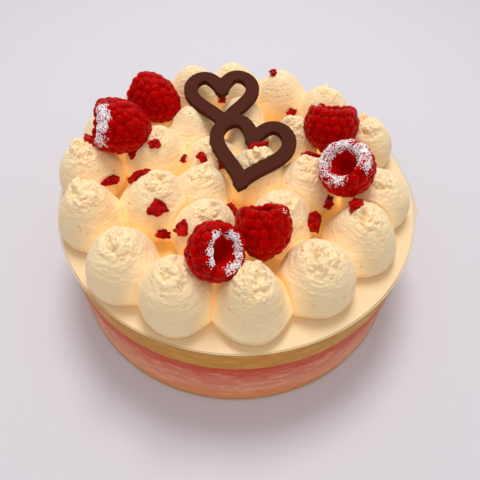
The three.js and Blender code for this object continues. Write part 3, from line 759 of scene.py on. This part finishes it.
def curds(tree, place, torn, given):
    """Lumps where the cream is torn, with crags on the crown; and the lumps by themselves."""
    often = node(tree, "ShaderNodeMath", {0: 1.0, 1: given["Curd Size"]}, operation="DIVIDE")
    lump = node(tree, "ShaderNodeTexNoise", {
        "Vector": place, "Scale": often, "Detail": 2.6, "Roughness": 0.55, "Lacunarity": 2.2})
    lump = node(tree, "ShaderNodeMapRange", {
        "Value": lump, "From Min": 0.3, "From Max": 0.7, "To Min": -1.0, "To Max": 1.0})
    finer = node(tree, "ShaderNodeMath", {0: often, 1: 2.6}, operation="MULTIPLY")
    warp = node(tree, "ShaderNodeTexNoise", {"Vector": place, "Scale": 0.7}, out="Color")
    warp = node(tree, "ShaderNodeVectorMath", {0: warp, "Scale": 1.6}, operation="SCALE")
    bent = node(tree, "ShaderNodeVectorMath", {0: place, 1: warp}, operation="ADD")
    knob = node(tree, "ShaderNodeTexVoronoi", {
        "Vector": bent, "Scale": finer, "Smoothness": 0.35}, feature="SMOOTH_F1", out="Distance")
    lump = node(tree, "ShaderNodeMath", {0: knob, 1: -1.0, 2: lump}, operation="MULTIPLY_ADD")
    lump = node(tree, "ShaderNodeMath", {0: lump, 1: 0.36}, operation="ADD")
    curd = node(tree, "ShaderNodeMath", {0: lump, 1: given["Curd Height"]}, operation="MULTIPLY")
    curd = node(tree, "ShaderNodeMath", {0: curd, 1: torn}, operation="MULTIPLY")
    crown = node(tree, "GeometryNodeInputNamedAttribute", {"Name": "crown"}, data_type="FLOAT")
    crag = node(tree, "ShaderNodeTexNoise", {"Vector": place, "Scale": 0.21, "Detail": 2.0})
    crag = node(tree, "ShaderNodeMath", {0: crag, 1: 0.52}, operation="SUBTRACT")
    crag = node(tree, "ShaderNodeMath", {0: crag, 1: given["Crag Height"]}, operation="MULTIPLY")
    crag = node(tree, "ShaderNodeMath", {0: crag, 1: crown}, operation="MULTIPLY")
    curd = node(tree, "ShaderNodeMath", {0: curd, 1: crag}, operation="ADD")
    return curd, lump


def creases(tree, place, given):
    """Level creases with finer ripples over them."""
    level = node(tree, "ShaderNodeVectorMath", {0: place, 1: (0.13, 0.13, 0.75)},
                 operation="MULTIPLY")
    crease = node(tree, "ShaderNodeTexNoise", {"Vector": level, "Scale": 1.0, "Detail": 3.0})
    crease = node(tree, "ShaderNodeMapRange", {
        "Value": crease, "From Min": 0.3, "From Max": 0.7, "To Min": -1.0, "To Max": 1.0})
    crease = node(tree, "ShaderNodeMath", {0: crease, 1: given["Crease Height"]},
                  operation="MULTIPLY")
    ripple = node(tree, "ShaderNodeVectorMath", {0: place, 1: (0.6, 0.6, 1.1)},
                  operation="MULTIPLY")
    ripple = node(tree, "ShaderNodeTexNoise", {"Vector": ripple, "Scale": 1.0, "Detail": 3.0,
                                               "Roughness": 0.7})
    ripple = node(tree, "ShaderNodeMapRange", {
        "Value": ripple, "From Min": 0.35, "From Max": 0.65, "To Min": -1.0, "To Max": 1.0})
    crease = node(tree, "ShaderNodeMath", {0: ripple, 1: given["Ripple Height"], 2: crease},
                  operation="MULTIPLY_ADD")
    return crease


def pits(tree, place, torn):
    """Small round pits: few in whole cream, many where it is torn."""
    few = node(tree, "ShaderNodeTexVoronoi", {"Vector": place, "Scale": 0.17}, out="Distance")
    few = node(tree, "ShaderNodeMapRange", {"Value": few, "From Min": 0.10, "From Max": 0.04})
    many = node(tree, "ShaderNodeTexVoronoi", {"Vector": place, "Scale": 0.3}, out="Distance")
    many = node(tree, "ShaderNodeMapRange", {"Value": many, "From Min": 0.15, "From Max": 0.07})
    many = node(tree, "ShaderNodeMath", {0: many, 1: torn}, operation="MULTIPLY")
    pit = node(tree, "ShaderNodeMath", {0: few, 1: many}, operation="MAXIMUM")
    return pit


def torn_cream_tree():
    """Soft swells and level creases all over; curds and pits where the cream is torn."""
    tree, given = new_tree("torn_cream", {
        "Curd Size": 3.6, "Curd Height": 0.72, "Crag Height": 5.0, "Crease Height": 0.10,
        "Ripple Height": 0.15, "Swell Height": 1.0, "Pit Depth": 0.75, "Seed": 0.0})
    place = node(tree, "GeometryNodeInputPosition")
    place = node(tree, "ShaderNodeVectorMath", {0: place, "Scale": 1 / MM}, operation="SCALE")
    place = node(tree, "ShaderNodeVectorMath", {0: place, 1: given["Seed"]}, operation="ADD")
    torn = node(tree, "GeometryNodeInputNamedAttribute", {"Name": "torn"}, data_type="FLOAT")
    ragged = node(tree, "ShaderNodeTexNoise", {"Vector": place, "Scale": 0.3, "Detail": 3.0})
    torn = node(tree, "ShaderNodeMath", {0: ragged, 1: 0.9, 2: torn}, operation="MULTIPLY_ADD")
    torn = node(tree, "ShaderNodeMapRange", {"Value": torn, "From Min": 0.85, "From Max": 1.25},
                interpolation_type="SMOOTHSTEP")
    curd, lump = curds(tree, place, torn, given)
    swell = node(tree, "ShaderNodeTexNoise", {"Vector": place, "Scale": 0.1, "Detail": 1.0})
    swell = node(tree, "ShaderNodeMath", {0: swell, 1: 0.5}, operation="SUBTRACT")
    swell = node(tree, "ShaderNodeMath", {0: swell, 1: given["Swell Height"]},
                 operation="MULTIPLY")
    pit = pits(tree, place, torn)
    depth = node(tree, "ShaderNodeMath", {0: pit, 1: given["Pit Depth"]}, operation="MULTIPLY")
    crease = creases(tree, place, given)
    rise = node(tree, "ShaderNodeMath", {0: curd, 1: crease}, operation="ADD")
    rise = node(tree, "ShaderNodeMath", {0: rise, 1: swell}, operation="ADD")
    rise = node(tree, "ShaderNodeMath", {0: rise, 1: depth}, operation="SUBTRACT")
    rise = node(tree, "ShaderNodeMath", {0: rise, 1: MM}, operation="MULTIPLY")
    outward = node(tree, "GeometryNodeInputNormal")
    offset = node(tree, "ShaderNodeVectorMath", {0: outward, "Scale": rise}, operation="SCALE")
    # Where painted amber shade goes: the low spots between curds and the pits, stored as hollow.
    low = node(tree, "ShaderNodeMapRange", {
        "Value": lump, "From Min": -0.3, "From Max": -1.1, "To Max": 0.45})
    low = node(tree, "ShaderNodeMath", {0: low, 1: torn}, operation="MULTIPLY")
    hollow = node(tree, "ShaderNodeMath", {0: low, 1: pit}, operation="MAXIMUM")
    geometry = node(tree, "GeometryNodeStoreNamedAttribute", {
        "Geometry": given["Geometry"], "Name": "hollow", "Value": hollow})
    geometry = node(tree, "GeometryNodeSetPosition", {"Geometry": geometry, "Offset": offset})
    finish_tree(tree, geometry, given["Material"])
    return tree


def cream_mound(name, mound, seed, tree):
    """One mound: shaped, torn, then pressed by its neighbours, the berries and the hearts."""
    made = mound_base("piped_" + name, mound, seed, rings=92, columns=168)
    made = shaped(made, tree, {"Material": CREAM, "Seed": 0.0})
    points = coordinates(made)
    planes = press_planes(mound)
    height = np.clip((points[:, 2] - DECK) / mound[3], 0, 1)
    points = press_in(points, mound_middle(mound, 0.97 * height), planes)
    core = mound_middle(mound, 0.3)
    for berry in RASPBERRIES:
        points = drawn_in(points, core, lambda path, berry=berry: in_berry(path, berry),
                          np.asarray(berry[0]), 0.6 * berry[3] + 3)
    points = drawn_in(points, core, in_hearts, np.asarray(SHEET_MIDDLE), 46)
    points[:, 2] = np.maximum(points[:, 2], DECK + 0.02)
    move_points(made, points)
    # Painted light: low down, where a mound is squeezed against a neighbour, the cream gets
    # painted warm light and a painted glow, more on inner mounds.
    squeezed = np.max([points[:, :2] @ toward - limit for toward, limit in planes], axis=0)
    low = 1 - smooth(0.25, 0.8, height)
    warm = 1.3 if name.startswith("inner") else 0.9
    clear_of_others = 1 - smooth(-6, -1, squeezed)
    store(made.data, "painted_crevice_glow", warm * smooth(-6.5, -0.2, squeezed) * low)
    store(made.data, "depth", clear_of_others * smooth(0.5, 4.5, points[:, 2] - DECK))
    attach(made, "root")
    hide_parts("cream_" + name)


cream_tree = torn_cream_tree()
for order, (mound_name, mound_sizes) in enumerate(MOUNDS.items()):
    cream_mound(mound_name, mound_sizes, 7 * (order + 1), cream_tree)


# ---- raspberries ----

def drupelet_rows(radius, length):
    """Each row's height and reach, how far it bulges forward and outward, and its size."""
    share = np.linspace(0, 0.97, 500)
    line = np.column_stack([share * length, radius * berry_radius(share)])
    run = np.append(0, np.cumsum(np.linalg.norm(np.diff(line, axis=0), axis=1)))

    def on_line(where):
        return np.array([np.interp(where, run, line[:, part]) for part in (0, 1)])

    count = round(run[-1] / (0.86 * DRUPELET_PITCH))
    rows = [(0, 0, -1, 0, 1.0)]
    for row in range(1, count + 1):
        where = run[-1] * row / count
        ahead = unit(on_line(where + 0.6) - on_line(where - 0.6))
        rows.append((*on_line(where), -ahead[1], ahead[0], 1.0))
    return rows + [(length - 0.4, 0.80 * radius, 0.80, 0.60, 0.95),
                   (length - 1.9, 0.60 * radius, 0.55, -0.84, 0.78),
                   (length - 4.6, 0.46 * radius, 0.15, -0.99, 0.80),
                   (length - 7.2, 0.32 * radius, 0.3, -0.95, 0.75)]


def drupelets(berry, seed):
    """Where one berry's drupelets sit: middles, the way each bulges, and half widths."""
    at, opens, radius, length = berry
    along, side, across = berry_axes(opens)
    chance = np.random.default_rng(seed)
    middles, bulges, widths = [], [], []
    rows = drupelet_rows(radius, length)
    for row, (height, reach, forward, outward, size) in enumerate(rows):
        count = max(1, round(2 * np.pi * reach / (DRUPELET_PITCH * max(size, 0.85))))
        turn = 0.5 * (row % 2) + chance.uniform(-0.15, 0.15)
        for column in range(count):
            angle = 2 * np.pi * (column + turn + chance.normal(0, 0.13)) / count
            away = math.cos(angle) * side + math.sin(angle) * across
            bulge = unit(forward * along + outward * away + chance.normal(0, 0.08, 3))
            half = 0.60 * DRUPELET_PITCH * size * chance.uniform(0.86, 1.12)
            middle = np.asarray(at) + (height - BERRY_BACK * length) * along + reach * away
            middle = middle + chance.normal(0, 0.34) * along
            middles.append(middle + (DRUPELET_PROUD + 0.15 - DRUPELET_FLATNESS * half) * bulge)
            bulges.append(bulge)
            widths.append(half)
    return np.array(middles), np.array(bulges), np.array(widths)


def berry_core(berry):
    """The berry's hollow body, which fills in between and behind the drupelets."""
    at, opens, radius, length = berry
    along, side, across = berry_axes(opens)
    profile = [(share * length + 0.5, radius * berry_radius(share) - CORE_SUNK)
               for share in (0.03, 0.08, 0.16, 0.3, 0.45, 0.62, 0.8, 0.93)]
    mouth = HOLLOW_RADIUS * radius
    bottom = (1 - HOLLOW_DEPTH) * length
    profile += [
        (length - 0.9, 0.82 * radius), (length - 0.7, 0.70 * radius), (length - 1.4, 1.2 * mouth),
        (0.88 * length, mouth), (0.75 * length, 0.86 * mouth), (bottom + 1, 0.6 * mouth),
        (bottom, 0.3 * mouth)]
    ring = steps_round(turn_of(40), side, across)
    tip = np.asarray(at) - BERRY_BACK * length * along
    rings = np.array([tip + height * along + reach * ring for height, reach in profile])
    return rings_to_mesh(rings, tip + 0.4 * along, tip + (0.99 - HOLLOW_DEPTH) * length * along)


def drupelet_tree():
    """Puts one plump drupelet on every loose point, bulging the way the point says."""
    tree, given = new_tree("drupelets", {
        "Flatness": DRUPELET_FLATNESS, "Unevenness": 0.14, "Seed": 0})
    size = node(tree, "GeometryNodeInputNamedAttribute", {"Name": "size"}, data_type="FLOAT")
    bulge = node(tree, "GeometryNodeInputNamedAttribute", {"Name": "bulge"},
                 data_type="FLOAT_VECTOR")
    loose = node(tree, "FunctionNodeCompare", {0: size, 1: 0.01}, operation="GREATER_THAN")
    split = node(tree, "GeometryNodeSeparateGeometry", {
        "Geometry": given["Geometry"], "Selection": loose}, out=None)
    ball = node(tree, "GeometryNodeMeshIcoSphere", {"Radius": MM, "Subdivisions": 2})
    turn = node(tree, "FunctionNodeAlignRotationToVector", {"Vector": bulge}, axis="Z")
    tall = node(tree, "ShaderNodeMath", {0: size, 1: given["Flatness"]}, operation="MULTIPLY")
    scale = node(tree, "ShaderNodeCombineXYZ", {0: size, 1: size, 2: tall})
    placed = node(tree, "GeometryNodeInstanceOnPoints", {
        "Points": split.outputs[0], "Instance": ball, "Rotation": turn, "Scale": scale})
    placed = node(tree, "GeometryNodeRealizeInstances", {0: placed})
    spot = node(tree, "GeometryNodeInputPosition")
    seed = node(tree, "ShaderNodeMath", {0: given["Seed"], 1: 0.37}, operation="MULTIPLY")
    dent = node(tree, "ShaderNodeTexNoise", {
        "Vector": spot, "W": seed, "Scale": 420.0, "Detail": 1.0}, noise_dimensions="4D")
    dent = node(tree, "ShaderNodeMath", {0: dent, 1: 0.5}, operation="SUBTRACT")
    dent = node(tree, "ShaderNodeMath", {0: dent, 1: given["Unevenness"]}, operation="MULTIPLY")
    dent = node(tree, "ShaderNodeMath", {0: dent, 1: 4 * MM}, operation="MULTIPLY")
    outward = node(tree, "GeometryNodeInputNormal")
    offset = node(tree, "ShaderNodeVectorMath", {0: outward, "Scale": dent}, operation="SCALE")
    placed = node(tree, "GeometryNodeSetPosition", {"Geometry": placed, "Offset": offset})
    whole = node(tree, "GeometryNodeJoinGeometry", {0: placed}, out=None)
    tree.links.new(split.outputs[1], whole.inputs[0])
    finish_tree(tree, whole.outputs[0], given["Material"])
    return tree


def raspberry(index, berry, tree):
    points, faces = berry_core(berry)
    middles, bulges, widths = drupelets(berry, 40 + index)
    size = np.append(np.zeros(len(points)), widths)
    bulge = np.vstack([np.zeros((len(points), 3)), bulges])
    made = mesh_object("berry_%d" % (index + 1), np.vstack([points, middles]), faces,
                       {"size": size, "bulge": bulge})
    made = shaped(made, tree, {"Material": BERRY, "Seed": index})
    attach(made, "root")
    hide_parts("raspberry_%d" % (index + 1))
    return made


berries_tree = drupelet_tree()
berries = [raspberry(order, berry, berries_tree) for order, berry in enumerate(RASPBERRIES)]


# ---- icing sugar on the raspberries ----

# Which berry, the bearing round its mouth in degrees, how wide that patch is, how thick,
# and how far out it reaches as a share of the berry's radius.
SUGAR_PATCHES = (
    (3, 150, 42, 1.0, 0.92), (3, 62, 42, 1.0, 1.02), (3, 100, 34, 0.7, 0.90),
    (3, 218, 38, 0.7, 0.90), (3, 292, 46, 0.7, 0.92), (5, 155, 58, 1.0, 0.80),
    (5, 15, 62, 1.0, 0.74), (5, -60, 45, 0.9, 0.76), (1, 28, 66, 1.0, 0.98),
    (2, 285, 14, 0.4, 0.95), (4, 110, 10, 0.3, 0.90), (0, 300, 30, 0.12, 0.95),
)


def sugar_amount(points, index):
    """How thick the powder lies at each point of a berry: on its rim, in patches."""
    at, opens, radius, length = RASPBERRIES[index]
    along, side, across = berry_axes(opens)
    rel = points - np.asarray(at)
    height = rel @ along - BERRY_FRONT * length
    away = np.hypot(rel @ side, rel @ across) / radius
    bearing = np.degrees(np.arctan2(rel @ across, rel @ side))
    rim = smooth(-3.8, -1.4, height) * smooth(0.46, 0.58, away)
    amount = np.zeros(len(points))
    for which, middle, wide, thick, reach in SUGAR_PATCHES:
        if which == index:
            off = np.abs((bearing - middle + 180) % 360 - 180)
            patch = (1 - smooth(0.55 * wide, wide, off)) * (1 - smooth(reach - 0.1, reach, away))
            amount = np.maximum(amount, thick * patch)
    return rim * amount


def sugar_tree():
    """Scatters fine grains over a berry where its powder lies."""
    tree, given = new_tree("sugar_grains", {
        "Grains per mm2": 20.0, "Grain Radius": 0.215, "Seed": 0})
    powder = node(tree, "GeometryNodeInputNamedAttribute", {"Name": "powder"}, data_type="FLOAT")
    place = node(tree, "GeometryNodeInputPosition")
    clump = node(tree, "ShaderNodeTexNoise", {
        "Vector": place, "Scale": 480.0, "Detail": 3.0, "Distortion": 0.8})
    clump = node(tree, "ShaderNodeMapRange", {"Value": clump, "From Min": 0.43, "From Max": 0.58})
    thick = node(tree, "ShaderNodeMath", {0: powder, 1: clump}, operation="MULTIPLY")
    thick = node(tree, "ShaderNodeMath", {0: thick, 1: given["Grains per mm2"]},
                 operation="MULTIPLY")
    thick = node(tree, "ShaderNodeMath", {0: thick, 1: 1 / MM ** 2}, operation="MULTIPLY")
    points = node(tree, "GeometryNodeDistributePointsOnFaces", {
        "Mesh": given["Geometry"], "Density": thick, "Seed": given["Seed"]})
    grain = node(tree, "GeometryNodeMeshIcoSphere", {"Radius": MM, "Subdivisions": 1})
    least = node(tree, "ShaderNodeMath", {0: given["Grain Radius"], 1: 0.6}, operation="MULTIPLY")
    most = node(tree, "ShaderNodeMath", {0: given["Grain Radius"], 1: 1.4}, operation="MULTIPLY")
    size = node(tree, "FunctionNodeRandomValue", {2: least, 3: most, "Seed": given["Seed"]}, out=1)
    placed = node(tree, "GeometryNodeInstanceOnPoints", {
        "Points": points, "Instance": grain, "Scale": size})
    finish_tree(tree, placed, given["Material"])
    return tree


def dust(index, berry, tree):
    """The icing sugar on one berry, as grains of its own."""
    points = coordinates(berry)
    amount = sugar_amount(points, index)
    if amount.max() <= 0:
        return
    faces = [list(face.vertices) for face in berry.data.polygons]
    made = mesh_object("sugar_%d" % (index + 1), points, faces, {"powder": amount})
    made = shaped(made, tree, {"Material": SUGAR, "Seed": index})
    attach(made, "root")


grains_tree = sugar_tree()
for order, berry_object in enumerate(berries):
    dust(order, berry_object, grains_tree)


# ---- freeze-dried flakes ----

def crumb_tree():
    """Breaks a plain slab into crumbly, angular flesh."""
    tree, given = new_tree("crumbs", {"Crumb Size": 1.7, "Crumb Height": 0.42, "Seed": 0.0})
    place = node(tree, "GeometryNodeInputPosition")
    place = node(tree, "ShaderNodeVectorMath", {0: place, "Scale": 1 / MM}, operation="SCALE")
    place = node(tree, "ShaderNodeVectorMath", {0: place, 1: given["Seed"]}, operation="ADD")
    often = node(tree, "ShaderNodeMath", {0: 1.0, 1: given["Crumb Size"]}, operation="DIVIDE")
    cell = node(tree, "ShaderNodeTexVoronoi", {"Vector": place, "Scale": often}, out="Distance")
    cell = node(tree, "ShaderNodeMapRange", {
        "Value": cell, "From Min": 0.1, "From Max": 0.8, "To Min": 0.8, "To Max": -1.0})
    rough = node(tree, "ShaderNodeTexNoise", {"Vector": place, "Scale": 0.45, "Detail": 2.0})
    rough = node(tree, "ShaderNodeMapRange", {
        "Value": rough, "From Min": 0.3, "From Max": 0.7, "To Min": -1.0, "To Max": 1.0})
    rise = node(tree, "ShaderNodeMath", {0: cell, 1: rough}, operation="ADD")
    rise = node(tree, "ShaderNodeMath", {0: rise, 1: given["Crumb Height"]}, operation="MULTIPLY")
    rise = node(tree, "ShaderNodeMath", {0: rise, 1: MM}, operation="MULTIPLY")
    outward = node(tree, "GeometryNodeInputNormal")
    offset = node(tree, "ShaderNodeVectorMath", {0: outward, "Scale": rise}, operation="SCALE")
    geometry = node(tree, "GeometryNodeSetPosition", {
        "Geometry": given["Geometry"], "Offset": offset})
    finish_tree(tree, geometry, given["Material"])
    return tree


def crooked_reach(angle, corners):
    """How far a ray at each angle goes to the side of a crooked polygon about the middle."""
    after = np.roll(corners, -1, axis=0)
    starts = np.arctan2(corners[:, 1], corners[:, 0])
    reach = np.zeros(len(angle))
    for (x0, y0), (x1, y1), start in zip(corners, after, starts):
        turn = (np.arctan2(y1, x1) - start) % (2 * np.pi)
        within = (angle - start) % (2 * np.pi) <= turn + 1e-9
        across = np.cos(angle) * (y1 - y0) - np.sin(angle) * (x1 - x0)
        reach = np.where(within, (x0 * y1 - x1 * y0) / np.where(within, across, 1), reach)
    return reach


def flake(index, entry):
    """One crooked slab on its mound: rings of points from its foot to its crown."""
    on, bearing, up, length, width, turn, taper, lean = entry
    mound = MOUNDS[on]
    out = np.array([*turned(bearing), 0])

    def at(share):
        return mound_middle(mound, share) + mound[2] * mound_radius(share, mound[6]) * out

    level = np.array([-out[1], out[0], 0])
    normal = unit(unit(np.cross(level, at(up + 0.02) - at(up - 0.02))) + (0, 0, lean))
    up_slope = np.cross(normal, level)
    c, s = turned(turn)
    along = c * level + s * up_slope
    across = np.cross(normal, along)
    around = turn_of(FLAKE_CORNERS)
    stretch = 1 + 0.2 * uneven(500 + 11 * index + np.arange(FLAKE_CORNERS))
    wide = stretch * (1 + taper * np.cos(around))
    corners = 0.5 * np.column_stack([
        length * stretch * np.cos(around), width * wide * np.sin(around)])
    angle = turn_of(40)
    reach = crooked_reach(angle, corners)
    outward = steps_round(angle, along, across)
    rings = []
    for height, share in FLAKE_RINGS:
        depth = height * (FLAKE_PROUD if height > 0 else FLAKE_SUNK)
        rings.append(at(up) + depth * normal + (share * reach)[:, None] * outward)
    points, faces = rings_to_mesh(
        np.array(rings), at(up) - FLAKE_SUNK * normal, at(up) + 1.2 * FLAKE_PROUD * normal)
    return press_in(points, mound_middle(mound, 0.8 * up), press_planes(mound)), faces


def flakes():
    points, faces = [], []
    for index, entry in enumerate(FLAKES):
        some, sides = flake(index, entry)
        start = sum(len(part) for part in points)
        points.append(some)
        faces += [[start + corner for corner in face] for face in sides]
    made = mesh_object("dried_flakes", np.vstack(points), faces)
    made = shaped(made, crumb_tree(), {"Material": flake_skin()})
    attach(made, "root")
    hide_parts(*sorted({"cream_" + entry[0] for entry in FLAKES}))


flakes()


# ---- chocolate hearts ----

def beside(line, distance):
    """A heart's line moved outward; the sides meet in corners at the cleft and the point."""
    ahead = np.roll(line, -1, axis=0) - np.roll(line, 1, axis=0)
    ahead /= np.linalg.norm(ahead, axis=1)[:, None]
    moved = line + distance * np.column_stack([ahead[:, 1], -ahead[:, 0]])
    apart = np.linalg.norm(moved[:, None] - line[None], axis=-1).min(axis=1)
    clear = apart > 0.995 * abs(distance)
    half = len(line) // 2
    left, right = moved[:half][clear[:half]], moved[half:][clear[half:]]
    return np.vstack([left, corner_between(left, right), right, corner_between(right, left)])


def corner_between(row, following):
    """Where two rows of points would meet, held to half the gap between them."""
    ahead = row[-1] - row[-2]
    back = following[1] - following[0]
    gap = following[0] - row[-1]
    cross = ahead[0] * back[1] - ahead[1] * back[0]
    share = (gap[0] * back[1] - gap[1] * back[0]) / cross
    middle = 0.5 * (row[-1] + following[0])
    reach = row[-1] + share * ahead - middle
    size = np.linalg.norm(reach)
    return middle + reach * min(1, 0.5 * np.linalg.norm(gap) / max(size, 1e-9))


def heart(line, ease=0.3):
    """One open heart with eased edges, lying flat about z = 0."""
    curve = bpy.data.curves.new("heart", "CURVE")
    curve.dimensions = "2D"
    curve.fill_mode = "BOTH"
    curve.extrude = (SHEET_THICKNESS / 2 - ease) * MM
    curve.bevel_depth = ease * MM
    curve.bevel_resolution = 1
    for distance in (STROKE / 2 - ease, ease - STROKE / 2):
        row = beside(line, distance)
        spline = curve.splines.new("POLY")
        spline.points.add(len(row) - 1)
        flat = np.column_stack([row * MM, np.zeros(len(row)), np.ones(len(row))])
        spline.points.foreach_set("co", flat.ravel())
        spline.use_cyclic_u = True
    drawn = bpy.data.objects.new("heart", curve)
    mesh = bpy.data.meshes.new_from_object(drawn)
    bpy.data.objects.remove(drawn)
    skin = bmesh.new()
    skin.from_mesh(mesh)
    bmesh.ops.remove_doubles(skin, verts=skin.verts, dist=1e-6)
    bmesh.ops.recalc_face_normals(skin, faces=skin.faces)
    skin.to_mesh(mesh)
    skin.free()
    return new_object("heart", mesh)


def hearts():
    """Both hearts as one sheet, tilted into place."""
    made, other = (heart(line) for line in HEART_LINES)
    joined = made.modifiers.new("join", "BOOLEAN")
    joined.operation = "UNION"
    joined.solver = "EXACT"
    joined.object = other
    depsgraph = bpy.context.evaluated_depsgraph_get()
    mesh = bpy.data.meshes.new_from_object(made.evaluated_get(depsgraph))
    made.modifiers.clear()
    bpy.data.objects.remove(other)
    made.data = mesh
    made.name = "heart_sheet"
    place = Matrix.Translation([part * MM for part in SHEET_MIDDLE])
    mesh.transform(place @ Matrix.Rotation(SHEET_TILT, 4, "X"))
    mesh.shade_flat()
    mesh.materials.clear()
    mesh.materials.append(dark_chocolate())
    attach(made, "root")
    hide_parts("chocolate_hearts")


hearts()


# ---- floor, light and camera ----

def floor():
    corners = [(-1500, -1500, 0), (1500, -1500, 0), (1500, 2500, 0), (-1500, 2500, 0)]
    made = mesh_object("floor", corners, [(0, 1, 2, 3)])
    made.data.materials.append(studio_paper())


def room_light():
    """Even, faintly cool light from all round."""
    world = bpy.data.worlds.new("room")
    bpy.context.scene.world = world
    world.use_nodes = True
    glow = world.node_tree.nodes["Background"].inputs
    glow["Color"].default_value = colour("f2f0f4")
    glow["Strength"].default_value = 0.61


def lamp(name, place, size, power):
    """A round lamp that faces the middle of the cake."""
    disk = bpy.data.lights.new(name, "AREA")
    disk.shape = "DISK"
    disk.size = size * MM
    disk.energy = power
    made = new_object(name, disk)
    spot = np.array(place) * MM
    back = unit(spot - np.array([0, 0, 0.05]))
    right = unit(np.cross((0, 0, 1), back))
    turn = np.column_stack([right, np.cross(back, right), back])
    made.matrix_world = Matrix.Translation(spot) @ Matrix(turn.tolist()).to_4x4()


def camera():
    """Above the front of the cake, as close as the photograph was taken."""
    high = math.radians(CAMERA_HIGH)
    spot = (0, -CAMERA_AWAY * math.cos(high) * MM, CAMERA_AWAY * math.sin(high) * MM)
    turn = Matrix.Rotation(math.pi / 2 - high, 4, "X")
    for degrees, axis in CAMERA_TURNS:
        turn = turn @ Matrix.Rotation(math.radians(degrees), 4, axis)
    lens = bpy.data.cameras.new("camera")
    lens.lens = 36
    lens.sensor_width = 36
    lens.clip_start = 0.01
    made = new_object("camera", lens)
    made.matrix_world = Matrix.Translation(spot) @ turn
    bpy.context.scene.camera = made


floor()
room_light()
for entry in LAMPS:
    lamp(*entry)
camera()
bpy.context.scene.view_settings.view_transform = "Standard"
